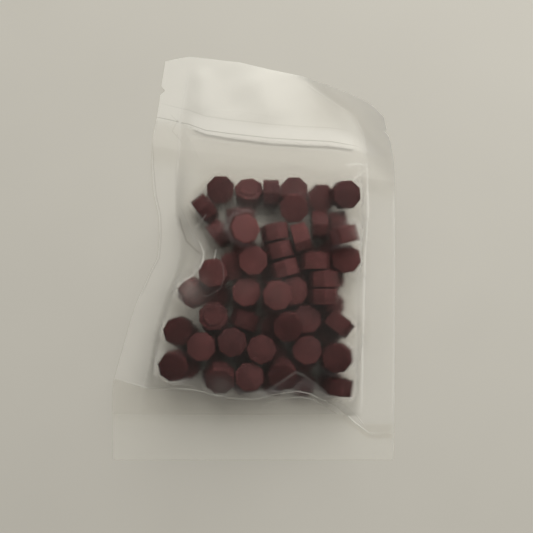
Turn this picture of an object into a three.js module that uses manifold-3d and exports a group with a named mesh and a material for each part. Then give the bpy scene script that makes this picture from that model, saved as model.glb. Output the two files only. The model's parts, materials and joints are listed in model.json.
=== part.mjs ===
// A frosted stand-up pouch lying on its back, full of octagonal sealing-wax beads.
// Millimetres, +Z up, the mouth towards +Y. The origin is under the middle of the pouch, on the table.
import * as THREE from "three";
import { mergeVertices } from "three/addons/utils/BufferGeometryUtils.js";
import Module from "manifold-3d";

const wasm = await Module();
wasm.setup();

// Film and pouch
const POUCH_WIDTH = 90;
const POUCH_LENGTH = 129;
const FILM = 0.25;
const REST_GAP = 0.3;
const SEAL_WIDTH = 9;
const SEAL_THICKNESS = 0.3;
const GUSSET_DEPTH = 15;
const SKIRT_THICKNESS = 0.5;
const MOUTH_PILLOW = 0.5;
const CURL_RADIUS = 15;
const CURL_STEEPEST = 70;
const CURL_FROM_MIDDLE = 8;
const CURL_BELOW_TOP = 2;
const CURL_DOWN_SIDE = 44;
const NOTCH_DEPTH = 1.6;
const NOTCH_BELOW_TOP = 27;
const NOTCH_SIDES = 4;

// Fineness of the films' surfaces, as columns across and rows along
const SEAL_COLUMNS = 3;
const BACK_COLUMNS = 14;
const BACK_ROWS = 28;
const FRONT_COLUMNS = 26;
const FRONT_ROWS = 30;
const LIP_ROWS = 12;
const GUSSET_ROWS = 4;
const SKIRT_COLUMNS = 12;
const ZIP_STEPS = 16;

// The pile's height is kept on a grid of this pitch. The front film is drawn over it in rounds: in each,
// the film slackens by a share of its unevenness and is then lifted clear of the pile.
const GRID = 0.3;
const SKIN_ROUNDS = 260;
const SKIN_SHARE = 0.7;
const SKIN_FITS = 60;
const SLIGHT_SHARE = 0.001;
const STEEPEST = 2.5;

// Press-to-close zip: a fin on the front film snaps into a channel on the back film
const ZIP_WIDTH = 2.6;
const CHANNEL_HEIGHT = 1.05;
const CHANNEL_FLOOR = 0.3;
const SLOT_WIDTH = 1.2;
const FIN_WIDTH = 0.55;
const FIN_HEIGHT = 0.5;
const RIB_FLANGE = 0.3;
const HINGE_BELOW_ZIP = 7.5;
const ZIP_INSET = 2.8;

// Wax bead: an octagonal prism with a low round boss on one face
const BEAD_FLATS = 8.4;
const BEAD_THICKNESS = 4.8;
const BOSS_DIAMETER = 6;
const BOSS_HEIGHT = 0.4;
const BEAD_SIDES = 8;
const BOSS_SIDES = 10;
const WELD = 0.2;
const COLUMN_SPACING = 9;
const MOST_LEAN = 45;
const PILE_MIDDLE = 1.75;

// The pouch's size at which the beads' places are given: in another size they spread with it
const LAID_WIDTH = 90;
const LAID_LENGTH = 129;
const SIDE_ROOM = 2.6;

// A bead that is laid down rolls up to this far aside to lie lower. Costs are in millimetres of height.
const ROLL = 2;
const ROLL_STEP = 0.25;
const ROLL_WAYS = 16;
const ROLL_COST = 1.5;
const CROWDING_COST = 20;

// Outline, as distances in from a plain rectangle. Each pair is [along the edge, distance].
// The beads' bulge draws both sides in, most of all at the pinch in the left side.
const LEFT_DRAW_IN = [
  [0, 0], [25, 0.4], [44, 5.8], [55, 9.6], [64, 13.8], [76, 14.3],
  [85, 12.9], [94, 12.5], [103, 12.7], [114, 14.6], [129, 16.5],
];
const RIGHT_DRAW_IN = [[0, 0.6], [91, 0], [98, 1.2], [105, 3.1], [110, 5.3], [114, 9.8], [129, 16]];
const MOUTH_DROP = [[16, 1.6], [24, 0.2], [41, 2], [50, 4.6], [61, 7.8], [73, 12.2], [80, 15.4], [85, 18.4]];
const FRONT_EDGE_RISE = [[0, 24.5], [20, 23.4], [33, 21.6], [45, 20.2], [57, 22.4], [66, 20.8], [73, 17.6], [79, 15.5]];

// The zip lies this far below the mouth's highest point, and slopes down to the right
const ZIP_BELOW_TOP = [[18, 19.6], [24, 21.6], [30, 23.6], [37, 25.1], [50, 26.6], [66, 27.6], [74, 28.3], [80, 29.8]];
const HINGE_SLOPE = -0.15;

const BOTTOM = -POUCH_LENGTH / 2;
const TOP = BOTTOM + POUCH_LENGTH;
const LEFT = -POUCH_WIDTH / 2;
const FOLD_LINE = BOTTOM + GUSSET_DEPTH;
const SEAL_BASE = FILM + REST_GAP;

// Colours and finishes
const film = (opacity) => new THREE.MeshStandardMaterial({
  color: 0xdcdcd4, roughness: 0.55, metalness: 0, transparent: true, opacity,
});
const filmFinish = film(0.45);
const sealFinish = film(0.6);
const zipFinish = film(0.75);
const waxFinish = new THREE.MeshStandardMaterial({ color: 0x6b2226, roughness: 0.5, metalness: 0 });

const radians = THREE.MathUtils.degToRad;
const lerp = THREE.MathUtils.lerp;

// A line of straight runs through [position, value] pairs, level past both ends.
function through(points) {
  return (at) => {
    if (at <= points[0][0]) return points[0][1];
    for (let i = 1; i < points.length; i++) {
      const [from, start] = points[i - 1];
      const [to, end] = points[i];
      if (at <= to) return lerp(start, end, (at - from) / (to - from));
    }
    return points[points.length - 1][1];
  };
}

const leftDrawIn = through(LEFT_DRAW_IN);
const rightDrawIn = through(RIGHT_DRAW_IN);
const mouthDrop = through(MOUTH_DROP);
const frontEdgeRise = through(FRONT_EDGE_RISE);
const zipBelowTop = through(ZIP_BELOW_TOP);

const leftEdge = (y) => LEFT + leftDrawIn(y - BOTTOM);
const rightEdge = (y) => -LEFT - rightDrawIn(y - BOTTOM);
const leftSealLine = (y) => leftEdge(y) + SEAL_WIDTH;
const rightSealLine = (y) => rightEdge(y) - SEAL_WIDTH;
const mouthEdge = (x) => TOP - mouthDrop(x - LEFT);
const frontBottomEdge = (x) => BOTTOM + Math.max(frontEdgeRise(x - LEFT), GUSSET_DEPTH + REST_GAP);
const zipLine = (x) => TOP - zipBelowTop(x - LEFT);
const hingeLine = (x) => zipLine(0) - HINGE_BELOW_ZIP + HINGE_SLOPE * x;

// The top right corner rolls up, on a radius, past a line across the corner.
const curlStart = new THREE.Vector2(CURL_FROM_MIDDLE, TOP - CURL_BELOW_TOP);
const curlEnd = new THREE.Vector2(-LEFT, TOP - CURL_DOWN_SIDE);
const curlAlong = curlEnd.clone().sub(curlStart).normalize();
const curlRoom = CURL_RADIUS * Math.cos(radians(CURL_STEEPEST));

function curl(x, y) {
  const past = curlAlong.x * (y - curlStart.y) - curlAlong.y * (x - curlStart.x);
  return past > 0 ? CURL_RADIUS - Math.sqrt(Math.max(CURL_RADIUS ** 2 - past ** 2, curlRoom ** 2)) : 0;
}

// A closed sheet over the plan area between two cross lines, from low(x, y, column, row) to high(...).
// Its sides follow side lines, from the left one to the right one, with a number of columns between each two.
// Where a side line crosses a cross line is found in a few turns from one to the other.
const LINE_TURNS = 8;

function sheet({ sides, columns, south, north, rows, low, high }) {
  const places = [];
  const stations = sides.slice(1).flatMap((east, gap) => {
    const first = gap ? 1 : 0;
    return Array.from({ length: columns[gap] + 1 - first }, (_, i) => (y) =>
      lerp(sides[gap](y), east(y), (i + first) / columns[gap]));
  });
  stations.forEach((station, i) => {
    const onLine = (line) => {
      let y = line(station(0));
      for (let turn = 0; turn < LINE_TURNS; turn++) y = line(station(y));
      return y;
    };
    const from = onLine(south);
    const to = onLine(north);
    for (let j = 0; j <= rows; j++) {
      const y = lerp(from, to, j / rows);
      places.push([station(y), y, i, j]);
    }
  });
  const across = stations.length - 1;
  const vertices = [];
  for (const [x, y, i, j] of places) vertices.push(x, y, low(x, y, i, j));
  for (const [x, y, i, j] of places) vertices.push(x, y, high(x, y, i, j));
  const upper = places.length;
  const at = (i, j) => i * (rows + 1) + j;
  const faces = [];
  const quad = (a, b, c, d) => faces.push(a, b, c, a, c, d);
  for (let i = 0; i < across; i++)
    for (let j = 0; j < rows; j++) {
      const [a, b, c, d] = [at(i, j), at(i + 1, j), at(i + 1, j + 1), at(i, j + 1)];
      quad(upper + a, upper + b, upper + c, upper + d);
      quad(a, d, c, b);
    }
  for (let i = 0; i < across; i++) {
    quad(at(i, 0), at(i + 1, 0), upper + at(i + 1, 0), upper + at(i, 0));
    quad(at(i + 1, rows), at(i, rows), upper + at(i, rows), upper + at(i + 1, rows));
  }
  for (let j = 0; j < rows; j++) {
    quad(at(0, j + 1), at(0, j), upper + at(0, j), upper + at(0, j + 1));
    quad(at(across, j), at(across, j + 1), upper + at(across, j + 1), upper + at(across, j));
  }
  return new THREE.BufferGeometry()
    .setAttribute("position", new THREE.Float32BufferAttribute(vertices, 3))
    .setIndex(faces);
}

const zipStart = leftSealLine(zipLine(LEFT)) + ZIP_INSET;
const zipEnd = rightSealLine(zipLine(-LEFT)) - ZIP_INSET;

// A track of one section along the zip: corners of the section are [offset from the zip line, height].
function track(corners) {
  const section = corners.map(([across, height]) => new THREE.Vector2(across, height));
  const caps = THREE.ShapeUtils.triangulateShape(section, []);
  const vertices = [];
  for (let i = 0; i <= ZIP_STEPS; i++) {
    const x = lerp(zipStart, zipEnd, i / ZIP_STEPS);
    for (const corner of section) {
      const y = zipLine(x) + corner.x;
      vertices.push(x, y, corner.y + curl(x, y));
    }
  }
  const count = section.length;
  const faces = [];
  for (let i = 0; i < ZIP_STEPS; i++)
    for (let k = 0; k < count; k++) {
      const next = (k + 1) % count;
      const [a, b] = [i * count + k, i * count + next];
      faces.push(a, b, b + count, a, b + count, a + count);
    }
  for (const [a, b, c] of caps) {
    faces.push(a, c, b);
    faces.push(...[a, b, c].map((corner) => ZIP_STEPS * count + corner));
  }
  return new THREE.BufferGeometry()
    .setAttribute("position", new THREE.Float32BufferAttribute(vertices, 3))
    .setIndex(faces);
}

// Booleans
function solid(geometry) {
  const plain = geometry.clone();
  plain.deleteAttribute("normal");
  plain.deleteAttribute("uv");
  const merged = mergeVertices(plain, 1e-4);
  return new wasm.Manifold(new wasm.Mesh({
    numProp: 3,
    vertProperties: merged.attributes.position.array,
    triVerts: new Uint32Array(merged.index.array),
  }));
}

function geometryOf(body) {
  const { vertProperties, triVerts } = body.getMesh();
  return new THREE.BufferGeometry()
    .setAttribute("position", new THREE.BufferAttribute(new Float32Array(vertProperties), 3))
    .setIndex(new THREE.BufferAttribute(new Uint32Array(triVerts), 1));
}

// Bead
const circumradius = BEAD_FLATS / 2 / Math.cos(Math.PI / BEAD_SIDES);

function octagon() {
  return new THREE.CylinderGeometry(circumradius, circumradius, BEAD_THICKNESS, BEAD_SIDES)
    .rotateY(Math.PI / BEAD_SIDES)
    .rotateX(Math.PI / 2);
}

function beadGeometry() {
  const rooted = BOSS_HEIGHT * 2;
  const boss = new THREE.CylinderGeometry(BOSS_DIAMETER / 2, BOSS_DIAMETER / 2, rooted, BOSS_SIDES)
    .rotateX(Math.PI / 2)
    .translate(0, 0, BEAD_THICKNESS / 2 + BOSS_HEIGHT - rooted / 2);
  return geometryOf(solid(octagon()).add(solid(boss)));
}

const beadShape = beadGeometry();

// The bead's two convex parts as flat sides: [outward direction, distance from the bead's middle].
const beadParts = (() => {
  const ring = (count, reach, start) => Array.from({ length: count }, (_, i) => {
    const angle = start + (2 * Math.PI * i) / count;
    return [new THREE.Vector3(Math.cos(angle), Math.sin(angle), 0), reach];
  });
  const up = new THREE.Vector3(0, 0, 1);
  const down = new THREE.Vector3(0, 0, -1);
  const half = BEAD_THICKNESS / 2;
  return [
    [...ring(BEAD_SIDES, BEAD_FLATS / 2, 0), [up, half], [down, half]],
    [...ring(BOSS_SIDES, BOSS_DIAMETER / 2, 0), [up, half + BOSS_HEIGHT], [down, 0]],
  ];
})();

// Heights of what lies in the pouch so far, on a fine grid over the plan.
const gridColumns = Math.ceil(POUCH_WIDTH / GRID) + 1;
const gridRows = Math.ceil(POUCH_LENGTH / GRID) + 1;
const heights = new Float32Array(gridColumns * gridRows).fill(FILM);

// Calls visit(cell, x, y) for each grid point within reach of a place.
function around(x, y, reach, visit) {
  const firstColumn = Math.max(0, Math.ceil((x - reach - LEFT) / GRID));
  const lastColumn = Math.min(gridColumns - 1, Math.floor((x + reach - LEFT) / GRID));
  const firstRow = Math.max(0, Math.ceil((y - reach - BOTTOM) / GRID));
  const lastRow = Math.min(gridRows - 1, Math.floor((y + reach - BOTTOM) / GRID));
  for (let i = firstColumn; i <= lastColumn; i++)
    for (let j = firstRow; j <= lastRow; j++)
      visit(i * gridRows + j, LEFT + i * GRID, BOTTOM + j * GRID);
}

// The lowest and highest point of a turned bead, grown by some clearance, on the upright through (x, y).
function span(sides, turned, x, y, clearance) {
  let low = -Infinity;
  let high = Infinity;
  const normal = new THREE.Vector3();
  for (const [direction, reach] of sides) {
    normal.copy(direction).applyQuaternion(turned);
    const room = reach + clearance - normal.x * x - normal.y * y;
    if (Math.abs(normal.z) < 1e-9) {
      if (room < 0) return null;
    } else if (normal.z > 0) {
      high = Math.min(high, room / normal.z);
    } else {
      low = Math.max(low, room / normal.z);
    }
  }
  return low < high ? [low, high] : null;
}

// The height of a bead's middle when it is lowered at (x, y) until it lies on what is beneath it.
const beadReach = Math.hypot(circumradius, BEAD_THICKNESS / 2 + BOSS_HEIGHT) + REST_GAP;

function seatHeight(x, y, turned) {
  let height = -Infinity;
  around(x, y, beadReach, (cell, gridX, gridY) => {
    for (const sides of beadParts) {
      const found = span(sides, turned, gridX - x, gridY - y, REST_GAP);
      if (found) height = Math.max(height, heights[cell] - found[0]);
    }
  });
  return height;
}

// Lays a bead near (x, y): it rolls aside, up to ROLL, where that brings it lower than it moves away.
function settle(x, y, turned) {
  let best = { cost: Infinity };
  for (let away = 0; away <= ROLL; away += ROLL_STEP)
    for (let k = 0; k < (away ? ROLL_WAYS : 1); k++) {
      const angle = (2 * Math.PI * k) / ROLL_WAYS;
      const place = new THREE.Vector3(x + away * Math.cos(angle), y + away * Math.sin(angle), 0);
      place.z = seatHeight(place.x, place.y, turned);
      const crowding = Math.max(
        0,
        leftSealLine(place.y) + SIDE_ROOM + circumradius - place.x,
        place.x - rightSealLine(place.y) + SIDE_ROOM + circumradius,
      );
      const cost = place.z + away * ROLL_COST + crowding * CROWDING_COST;
      if (cost < best.cost - 1e-6) best = { cost, place };
    }
  const { place } = best;
  around(place.x, place.y, beadReach, (cell, gridX, gridY) => {
    for (const sides of beadParts) {
      const found = span(sides, turned, gridX - place.x, gridY - place.y, 0);
      if (found) heights[cell] = Math.max(heights[cell], place.z + found[1]);
    }
  });
  return place;
}

const zAxis = new THREE.Vector3(0, 0, 1);
const yAxis = new THREE.Vector3(0, 1, 0);
const turnAbout = (axis, angle) => new THREE.Quaternion().setFromAxisAngle(axis, radians(angle));

const root = new THREE.Group();
const pouch = new THREE.Group();
root.add(pouch);

function place(name, geometry, finish) {
  const mesh = new THREE.Mesh(geometry, finish);
  mesh.name = name;
  pouch.add(mesh);
  return mesh;
}

// Back film, with the rolled corner
place("back_film", sheet({
  sides: [leftEdge, leftSealLine, rightSealLine, rightEdge],
  columns: [SEAL_COLUMNS, BACK_COLUMNS, SEAL_COLUMNS],
  south: () => FOLD_LINE + REST_GAP / 2,
  north: mouthEdge,
  rows: BACK_ROWS,
  low: (x, y) => curl(x, y),
  high: (x, y) => curl(x, y) + FILM,
}), filmFinish);

// Side seals: the front film's margins, welded to the back film, with a tear notch in each
function notchedSeal(geometry, edgeX, y) {
  const cutter = new THREE.CylinderGeometry(NOTCH_DEPTH, NOTCH_DEPTH, POUCH_WIDTH, NOTCH_SIDES)
    .rotateX(Math.PI / 2)
    .translate(edgeX, y, 0);
  return geometryOf(solid(geometry).subtract(solid(cutter)));
}

const sealShape = {
  south: () => FOLD_LINE + REST_GAP / 2,
  north: mouthEdge,
  low: (x, y) => curl(x, y) + SEAL_BASE,
  high: (x, y) => curl(x, y) + SEAL_BASE + SEAL_THICKNESS,
  columns: [SEAL_COLUMNS],
  rows: BACK_ROWS,
};
const notchY = TOP - NOTCH_BELOW_TOP;
place("side_seal_left", notchedSeal(sheet({
  ...sealShape,
  sides: [leftEdge, leftSealLine],
}), leftEdge(notchY), notchY), sealFinish);
place("side_seal_right", notchedSeal(sheet({
  ...sealShape,
  sides: [rightSealLine, rightEdge],
}), rightEdge(notchY), notchY), sealFinish);

// Zip: the channel on the back film and the rib on the front film
const channelBase = SEAL_BASE;
const channelTop = channelBase + CHANNEL_HEIGHT;
place("zip_channel", track([
  [-ZIP_WIDTH / 2, channelBase],
  [ZIP_WIDTH / 2, channelBase],
  [ZIP_WIDTH / 2, channelTop],
  [SLOT_WIDTH / 2, channelTop],
  [SLOT_WIDTH / 2, channelBase + CHANNEL_FLOOR],
  [-SLOT_WIDTH / 2, channelBase + CHANNEL_FLOOR],
  [-SLOT_WIDTH / 2, channelTop],
  [-ZIP_WIDTH / 2, channelTop],
]), zipFinish);
const ribBase = channelTop + REST_GAP;
const ribTop = ribBase + RIB_FLANGE;
place("zip_rib", track([
  [-ZIP_WIDTH / 2, ribBase],
  [-FIN_WIDTH / 2, ribBase],
  [-FIN_WIDTH / 2, ribBase - FIN_HEIGHT],
  [FIN_WIDTH / 2, ribBase - FIN_HEIGHT],
  [FIN_WIDTH / 2, ribBase],
  [ZIP_WIDTH / 2, ribBase],
  [ZIP_WIDTH / 2, ribTop],
  [-ZIP_WIDTH / 2, ribTop],
]), zipFinish);

const flat = new THREE.Quaternion();
const laidX = (x) => (x * POUCH_WIDTH) / LAID_WIDTH;
const laidY = (up) => BOTTOM + (up * POUCH_LENGTH) / LAID_LENGTH;

// The upper beads, from the first laid to the last: [x, distance up from the pouch's bottom edge,
// lean of the bead's axis from upright, direction that it leans to, turn about its own axis].
const BEADS = [
  // Row nearest the mouth, on the back film
  [-10.4, 86, 8, 270, 0],
  [-1.7, 84.7, 36, 90, 10],
  [5.4, 84.5, 90, 0, 22.5],
  [12.4, 85.4, 6, 90, 0],
  [20.8, 83.4, 6, 270, 0],
  [28.2, 83.9, 14, 0, 5],
  [11.9, 80.4, 10, 270, 4],
  // Right side, down to the stack of three
  [20.5, 76.2, 90, 0, 22.5],
  [26.1, 75.6, 90, 5, 10],
  [27.2, 71.2, 90, 105, 22.5],
  [14.6, 71.2, 90, 15, 10],
  [29.6, 64.6, 8, 180, 10],
  [20.4, 64.9, 90, 90, 22.5],
  [20.8, 59.6, 90, 90, 22.5],
  [20.8, 54.3, 90, 90, 22.5],
  // Leaning stack in the middle
  [6.7, 72.5, 90, 101, 0],
  [8.2, 67.2, 90, 104, 0],
  [9.8, 61.9, 90, 106, 0],
  // Left side, down to the pinch, from the bead that carries its neighbours
  [-6.3, 62, 4, 200, 10],
  [-15.2, 81.4, 90, 37, 12],
  [-12, 73.4, 90, 37, 16],
  [-3.4, 78.8, 90, 90, 10],
  [-2.9, 72.7, 20, 30, 18],
  [-18.4, 53.8, 45, 320, 10],
  [-12.4, 59.2, 12, 150, 10],
  // Middle
  [0.1, 64, 6, 0, 3],
  [13.4, 54.4, 6, 0, 10],
  [6.9, 53.9, 5, 300, 10],
  [-2.9, 55.8, 4, 90, 8],
  // Lower part
  [16.8, 46.2, 10, 90, 5],
  [10.4, 43.8, 8, 270, 6],
  [-1.7, 45, 90, 70, 12],
  [-11.9, 46.4, 8, 90, 2],
  [-23, 41.9, 10, 200, 15],
  [26.2, 44.2, 90, 53, 12],
  [16.2, 36.3, 10, 90, 12],
  [25.6, 34.2, 14, 180, 8],
  [2.4, 36.6, 8, 80, 20],
  [-15.9, 37.5, 8, 90, 4],
  [-24, 31.9, 12, 240, 10],
  // Row nearest the gusset
  [8.6, 29.4, 20, 270, 10],
  [-0.3, 29, 15, 90, 5],
  [-10, 28.3, 28, 270, 0],
  [26.1, 24.9, 90, 82, 20],
  [-6.6, 37.2, 10, 20, 10],
];

// The lower layer of beads lies flat in columns, and the beads of a column cling flat to flat. Some carry a
// second bead, under an upper bead that lies flat, so that the upper beads' tops are about level.
const pitch = BEAD_FLATS - WELD;

// Where each column starts and ends, above the pouch's bottom edge, from the left column to the right one
const LOWER_COLUMNS = [[27, 44], [24, 58], [22, 76], [22, 76], [21, 71], [21, 71]];
// The rows of each column that carry a second bead, counted from the gusset
const SECOND_ROWS = [[0], [0, 1, 2], [0], [0, 1, 2], [1], [1]];
LOWER_COLUMNS.forEach(([from, to], index) => {
  const x = laidX(PILE_MIDDLE) + (index - (LOWER_COLUMNS.length - 1) / 2) * COLUMN_SPACING;
  const count = Math.max(1, Math.floor((laidY(to) - laidY(from)) / pitch));
  let column = null;
  for (let k = 0; k < count; k++) {
    const y = laidY(from) + (k + 0.5) * pitch;
    const base = FILM + REST_GAP + BEAD_THICKNESS / 2;
    const storeys = SECOND_ROWS[index].includes(k) ? [base, base + BEAD_THICKNESS - WELD] : [base];
    for (const z of storeys) {
      const bead = solid(octagon().translate(x, y, z));
      column = column ? column.add(bead) : bead;
    }
    around(x, y, circumradius, (cell, gridX, gridY) => {
      const found = span(beadParts[0], flat, gridX - x, gridY - y, 0);
      if (found) heights[cell] = Math.max(heights[cell], storeys.at(-1) + found[1]);
    });
  }
  place(`lower_beads_${index + 1}`, geometryOf(column), waxFinish);
});

// Of the beads that lie flat, the numbers of those whose boss is on top
const BOSS_UP = [2, 33, 43];

BEADS.forEach(([x, up, lean, toward, turn], index) => {
  const turned = turnAbout(zAxis, toward).multiply(turnAbout(yAxis, lean)).multiply(turnAbout(zAxis, turn - toward));
  if (lean < MOST_LEAN && !BOSS_UP.includes(index + 1)) turned.multiply(turnAbout(yAxis, 180));
  const bead = place(`bead_${String(index + 1).padStart(2, "0")}`, beadShape.clone(), waxFinish);
  bead.position.copy(settle(laidX(x), laidY(up), turned));
  bead.quaternion.copy(turned);
});

// The front of the pouch is one skin in three bands, from the fold on the table up to the mouth.
const frontWest = (y) => leftSealLine(y) + REST_GAP;
const frontEast = (y) => rightSealLine(y) - REST_GAP;
const foldLine = () => FOLD_LINE + REST_GAP / 2;
const bands = [
  { south: foldLine, north: frontBottomEdge, rows: GUSSET_ROWS, first: 0 },
  { south: frontBottomEdge, north: hingeLine, rows: FRONT_ROWS, first: GUSSET_ROWS },
  { south: hingeLine, north: mouthEdge, rows: LIP_ROWS, first: GUSSET_ROWS + FRONT_ROWS },
];
const skinRows = GUSSET_ROWS + FRONT_ROWS + LIP_ROWS;
const skinAt = (i, j) => i * (skinRows + 1) + j;

// The three corners of the skin's triangle over a place, with their shares, or null beside the skin.
function skinCorners(x, y) {
  const across = (FRONT_COLUMNS * (x - frontWest(y))) / (frontEast(y) - frontWest(y));
  const band = bands.find(({ south, north }) => y >= south(x) && y < north(x));
  if (!band || across < 0 || across >= FRONT_COLUMNS) return null;
  const along = band.first + (band.rows * (y - band.south(x))) / (band.north(x) - band.south(x));
  const [i, j] = [Math.floor(across), Math.floor(along)];
  const [u, v] = [across - i, along - j];
  const near = skinAt(i, j);
  const far = skinAt(i + 1, j + 1);
  return u >= v
    ? { corners: [near, skinAt(i + 1, j), far], shares: [1 - u, u - v, v] }
    : { corners: [near, far, skinAt(i, j + 1)], shares: [1 - v, u, v - u] };
}

// What holds the skin up: each grid point with a bead or the zip under it or beside it.
const props = [];
around(0, 0, POUCH_LENGTH, (cell, x, y) => {
  const overZip = x > zipStart - GRID && x < zipEnd + GRID && Math.abs(y - zipLine(x)) <= ZIP_WIDTH / 2 + GRID;
  let top = overZip ? ribTop : 0;
  around(x, y, GRID, (near) => { top = Math.max(top, heights[near]); });
  const found = top > FILM ? skinCorners(x, y) : null;
  if (found) props.push({ ...found, least: top + REST_GAP });
});

// The skin's heights, each level with the mean of its neighbours unless something holds it up.
const skin = (() => {
  const level = new Float64Array((FRONT_COLUMNS + 1) * (skinRows + 1)).fill(SEAL_BASE);
  const held = new Uint8Array(level.length);
  for (let i = 0; i <= FRONT_COLUMNS; i++)
    for (let j = 0; j <= skinRows; j++) {
      const k = skinAt(i, j);
      held[k] = i === 0 || i === FRONT_COLUMNS || j === 0 || j === skinRows;
      if (j === skinRows && i > 0 && i < FRONT_COLUMNS) level[k] = SEAL_BASE + MOUTH_PILLOW;
    }
  const slacken = () => {
    for (let i = 1; i < FRONT_COLUMNS; i++)
      for (let j = 1; j < skinRows; j++) {
        const k = skinAt(i, j);
        const mean = (level[k - 1] + level[k + 1] + level[skinAt(i - 1, j)] + level[skinAt(i + 1, j)]) / 4;
        level[k] = lerp(level[k], mean, SKIN_SHARE);
      }
  };
  const fit = () => {
    for (const { corners, shares, least } of props) {
      const short = least - shares.reduce((sum, share, n) => sum + share * level[corners[n]], 0);
      if (short <= 0) continue;
      const free = shares.map((share, n) => (held[corners[n]] ? 0 : share));
      const weight = free.reduce((sum, share) => sum + share * share, 0);
      if (weight > SLIGHT_SHARE) free.forEach((share, n) => { level[corners[n]] += (short * share) / weight; });
    }
  };
  for (let round = 0; round < SKIN_ROUNDS; round++) {
    slacken();
    fit();
  }
  for (let round = 0; round < SKIN_FITS; round++) fit();
  return level;
})();

// A steep skin is drawn thicker upright, so that its wall stays near the film's own thickness.
const columnPitch = (frontEast(0) - frontWest(0)) / FRONT_COLUMNS;
const rowPitch = (hingeLine(0) - frontBottomEdge(0)) / FRONT_ROWS;

function skinThickness(i, j) {
  if (i === 0 || i === FRONT_COLUMNS || j === 0 || j === skinRows) return FILM;
  const across = (skin[skinAt(i + 1, j)] - skin[skinAt(i - 1, j)]) / (2 * columnPitch);
  const along = (skin[skinAt(i, j + 1)] - skin[skinAt(i, j - 1)]) / (2 * rowPitch);
  return FILM * Math.min(STEEPEST, Math.hypot(1, across, along));
}

function frontBand(name, { south, north, rows, first }, southGap, northGap) {
  const low = (x, y, i, j) => skin[skinAt(i, first + j)] + curl(x, y);
  place(name, sheet({
    sides: [frontWest, frontEast],
    columns: [FRONT_COLUMNS],
    south: (x) => south(x) + southGap,
    north: (x) => north(x) - northGap,
    rows,
    low,
    high: (x, y, i, j) => low(x, y, i, j) + skinThickness(i, first + j),
  }), filmFinish);
}

// The gusset's front half rises from the fold to the front film's bottom edge. The lip above the hinge
// line lifts with the zip's rib when the mouth opens.
frontBand("gusset_film", bands[0], 0, REST_GAP / 2);
frontBand("front_film", bands[1], REST_GAP / 2, REST_GAP / 2);
frontBand("front_lip", bands[2], REST_GAP / 2, 0);

// The base skirt: the back film below the fold, welded to the gusset's back half along its rim
place("base_skirt", sheet({
  sides: [leftEdge, rightEdge],
  south: () => BOTTOM,
  north: () => FOLD_LINE - REST_GAP / 2,
  low: () => 0,
  high: () => SKIRT_THICKNESS,
  columns: [SKIRT_COLUMNS],
  rows: GUSSET_ROWS,
}), sealFinish);

const outer = new THREE.Box3().setFromObject(pouch, true);
pouch.position.set(-(outer.min.x + outer.max.x) / 2, -(outer.min.y + outer.max.y) / 2, -outer.min.z);

export default root;
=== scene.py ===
"""A frosted stand-up pouch, lying on its back, full of burgundy sealing-wax beads."""

import json
import logging
import math
from dataclasses import dataclass, field
from enum import Enum
from typing import Callable, Sequence

import bmesh
import bpy
import numpy as np
from mathutils import Matrix, Vector
from mathutils.bvhtree import BVHTree

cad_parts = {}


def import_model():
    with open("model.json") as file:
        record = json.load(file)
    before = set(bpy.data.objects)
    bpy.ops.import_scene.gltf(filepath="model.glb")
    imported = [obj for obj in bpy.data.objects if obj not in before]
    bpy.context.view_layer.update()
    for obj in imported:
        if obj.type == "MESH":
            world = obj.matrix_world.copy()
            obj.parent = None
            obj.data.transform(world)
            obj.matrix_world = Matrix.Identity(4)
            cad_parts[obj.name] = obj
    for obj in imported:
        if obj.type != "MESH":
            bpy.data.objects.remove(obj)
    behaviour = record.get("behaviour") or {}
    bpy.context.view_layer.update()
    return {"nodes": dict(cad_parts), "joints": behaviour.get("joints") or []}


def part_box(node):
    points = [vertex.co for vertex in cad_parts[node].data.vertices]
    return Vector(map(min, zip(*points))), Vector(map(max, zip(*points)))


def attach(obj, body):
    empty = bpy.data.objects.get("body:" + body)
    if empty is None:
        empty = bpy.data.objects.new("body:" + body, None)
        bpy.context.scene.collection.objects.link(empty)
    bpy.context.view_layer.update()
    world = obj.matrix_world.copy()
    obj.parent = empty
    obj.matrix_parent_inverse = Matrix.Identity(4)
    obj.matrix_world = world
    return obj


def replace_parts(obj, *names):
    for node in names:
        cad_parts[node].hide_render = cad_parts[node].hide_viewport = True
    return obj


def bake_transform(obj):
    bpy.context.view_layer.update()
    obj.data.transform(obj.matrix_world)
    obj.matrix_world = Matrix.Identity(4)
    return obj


log = logging.getLogger("pouch")

MM = 0.001
FAR_AWAY = 10.0

Line = Callable[[np.ndarray], np.ndarray]
Shape = Callable[[np.ndarray, np.ndarray], np.ndarray]
Pixel = tuple[float, float]


class Slot(str, Enum):
    """The record's material slots."""

    FILM = "film"
    SEAL = "seal"
    ZIP = "zip"
    WAX = "wax"


class Body(str, Enum):
    """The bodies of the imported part."""

    POUCH = "pouch"
    LIP = "mouth_lip"
    SKIRT = "skirt"


@dataclass(frozen=True)
class PhotoView:
    """Where the photograph was taken from: straight above the pouch, at arm's length."""

    side_px: int = 533
    aim_px: float = 266.5
    aim_x: float = 4.0 * MM
    aim_y: float = -2.5 * MM
    height: float = 260 * MM
    scale: float = 0.32 * MM

    def place(self, pixel: Pixel, z: float = 0.0) -> Vector:
        """The point at height z that the photograph shows at a pixel.

        Args:
            pixel: columns from the left and rows from the top.
            z: the point's height over the table.

        Returns:
            The point in the frame, in metres.
        """
        shrink = (self.height - z) / self.height * self.scale
        x = self.aim_x + (pixel[0] - self.aim_px) * shrink
        y = self.aim_y - (pixel[1] - self.aim_px) * shrink
        return Vector((x, y, z))

    def field_of_view(self) -> float:
        """The angle that the photograph's width takes in."""
        return 2 * math.atan(self.side_px * self.scale / 2 / self.height)


VIEW = PhotoView()


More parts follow.
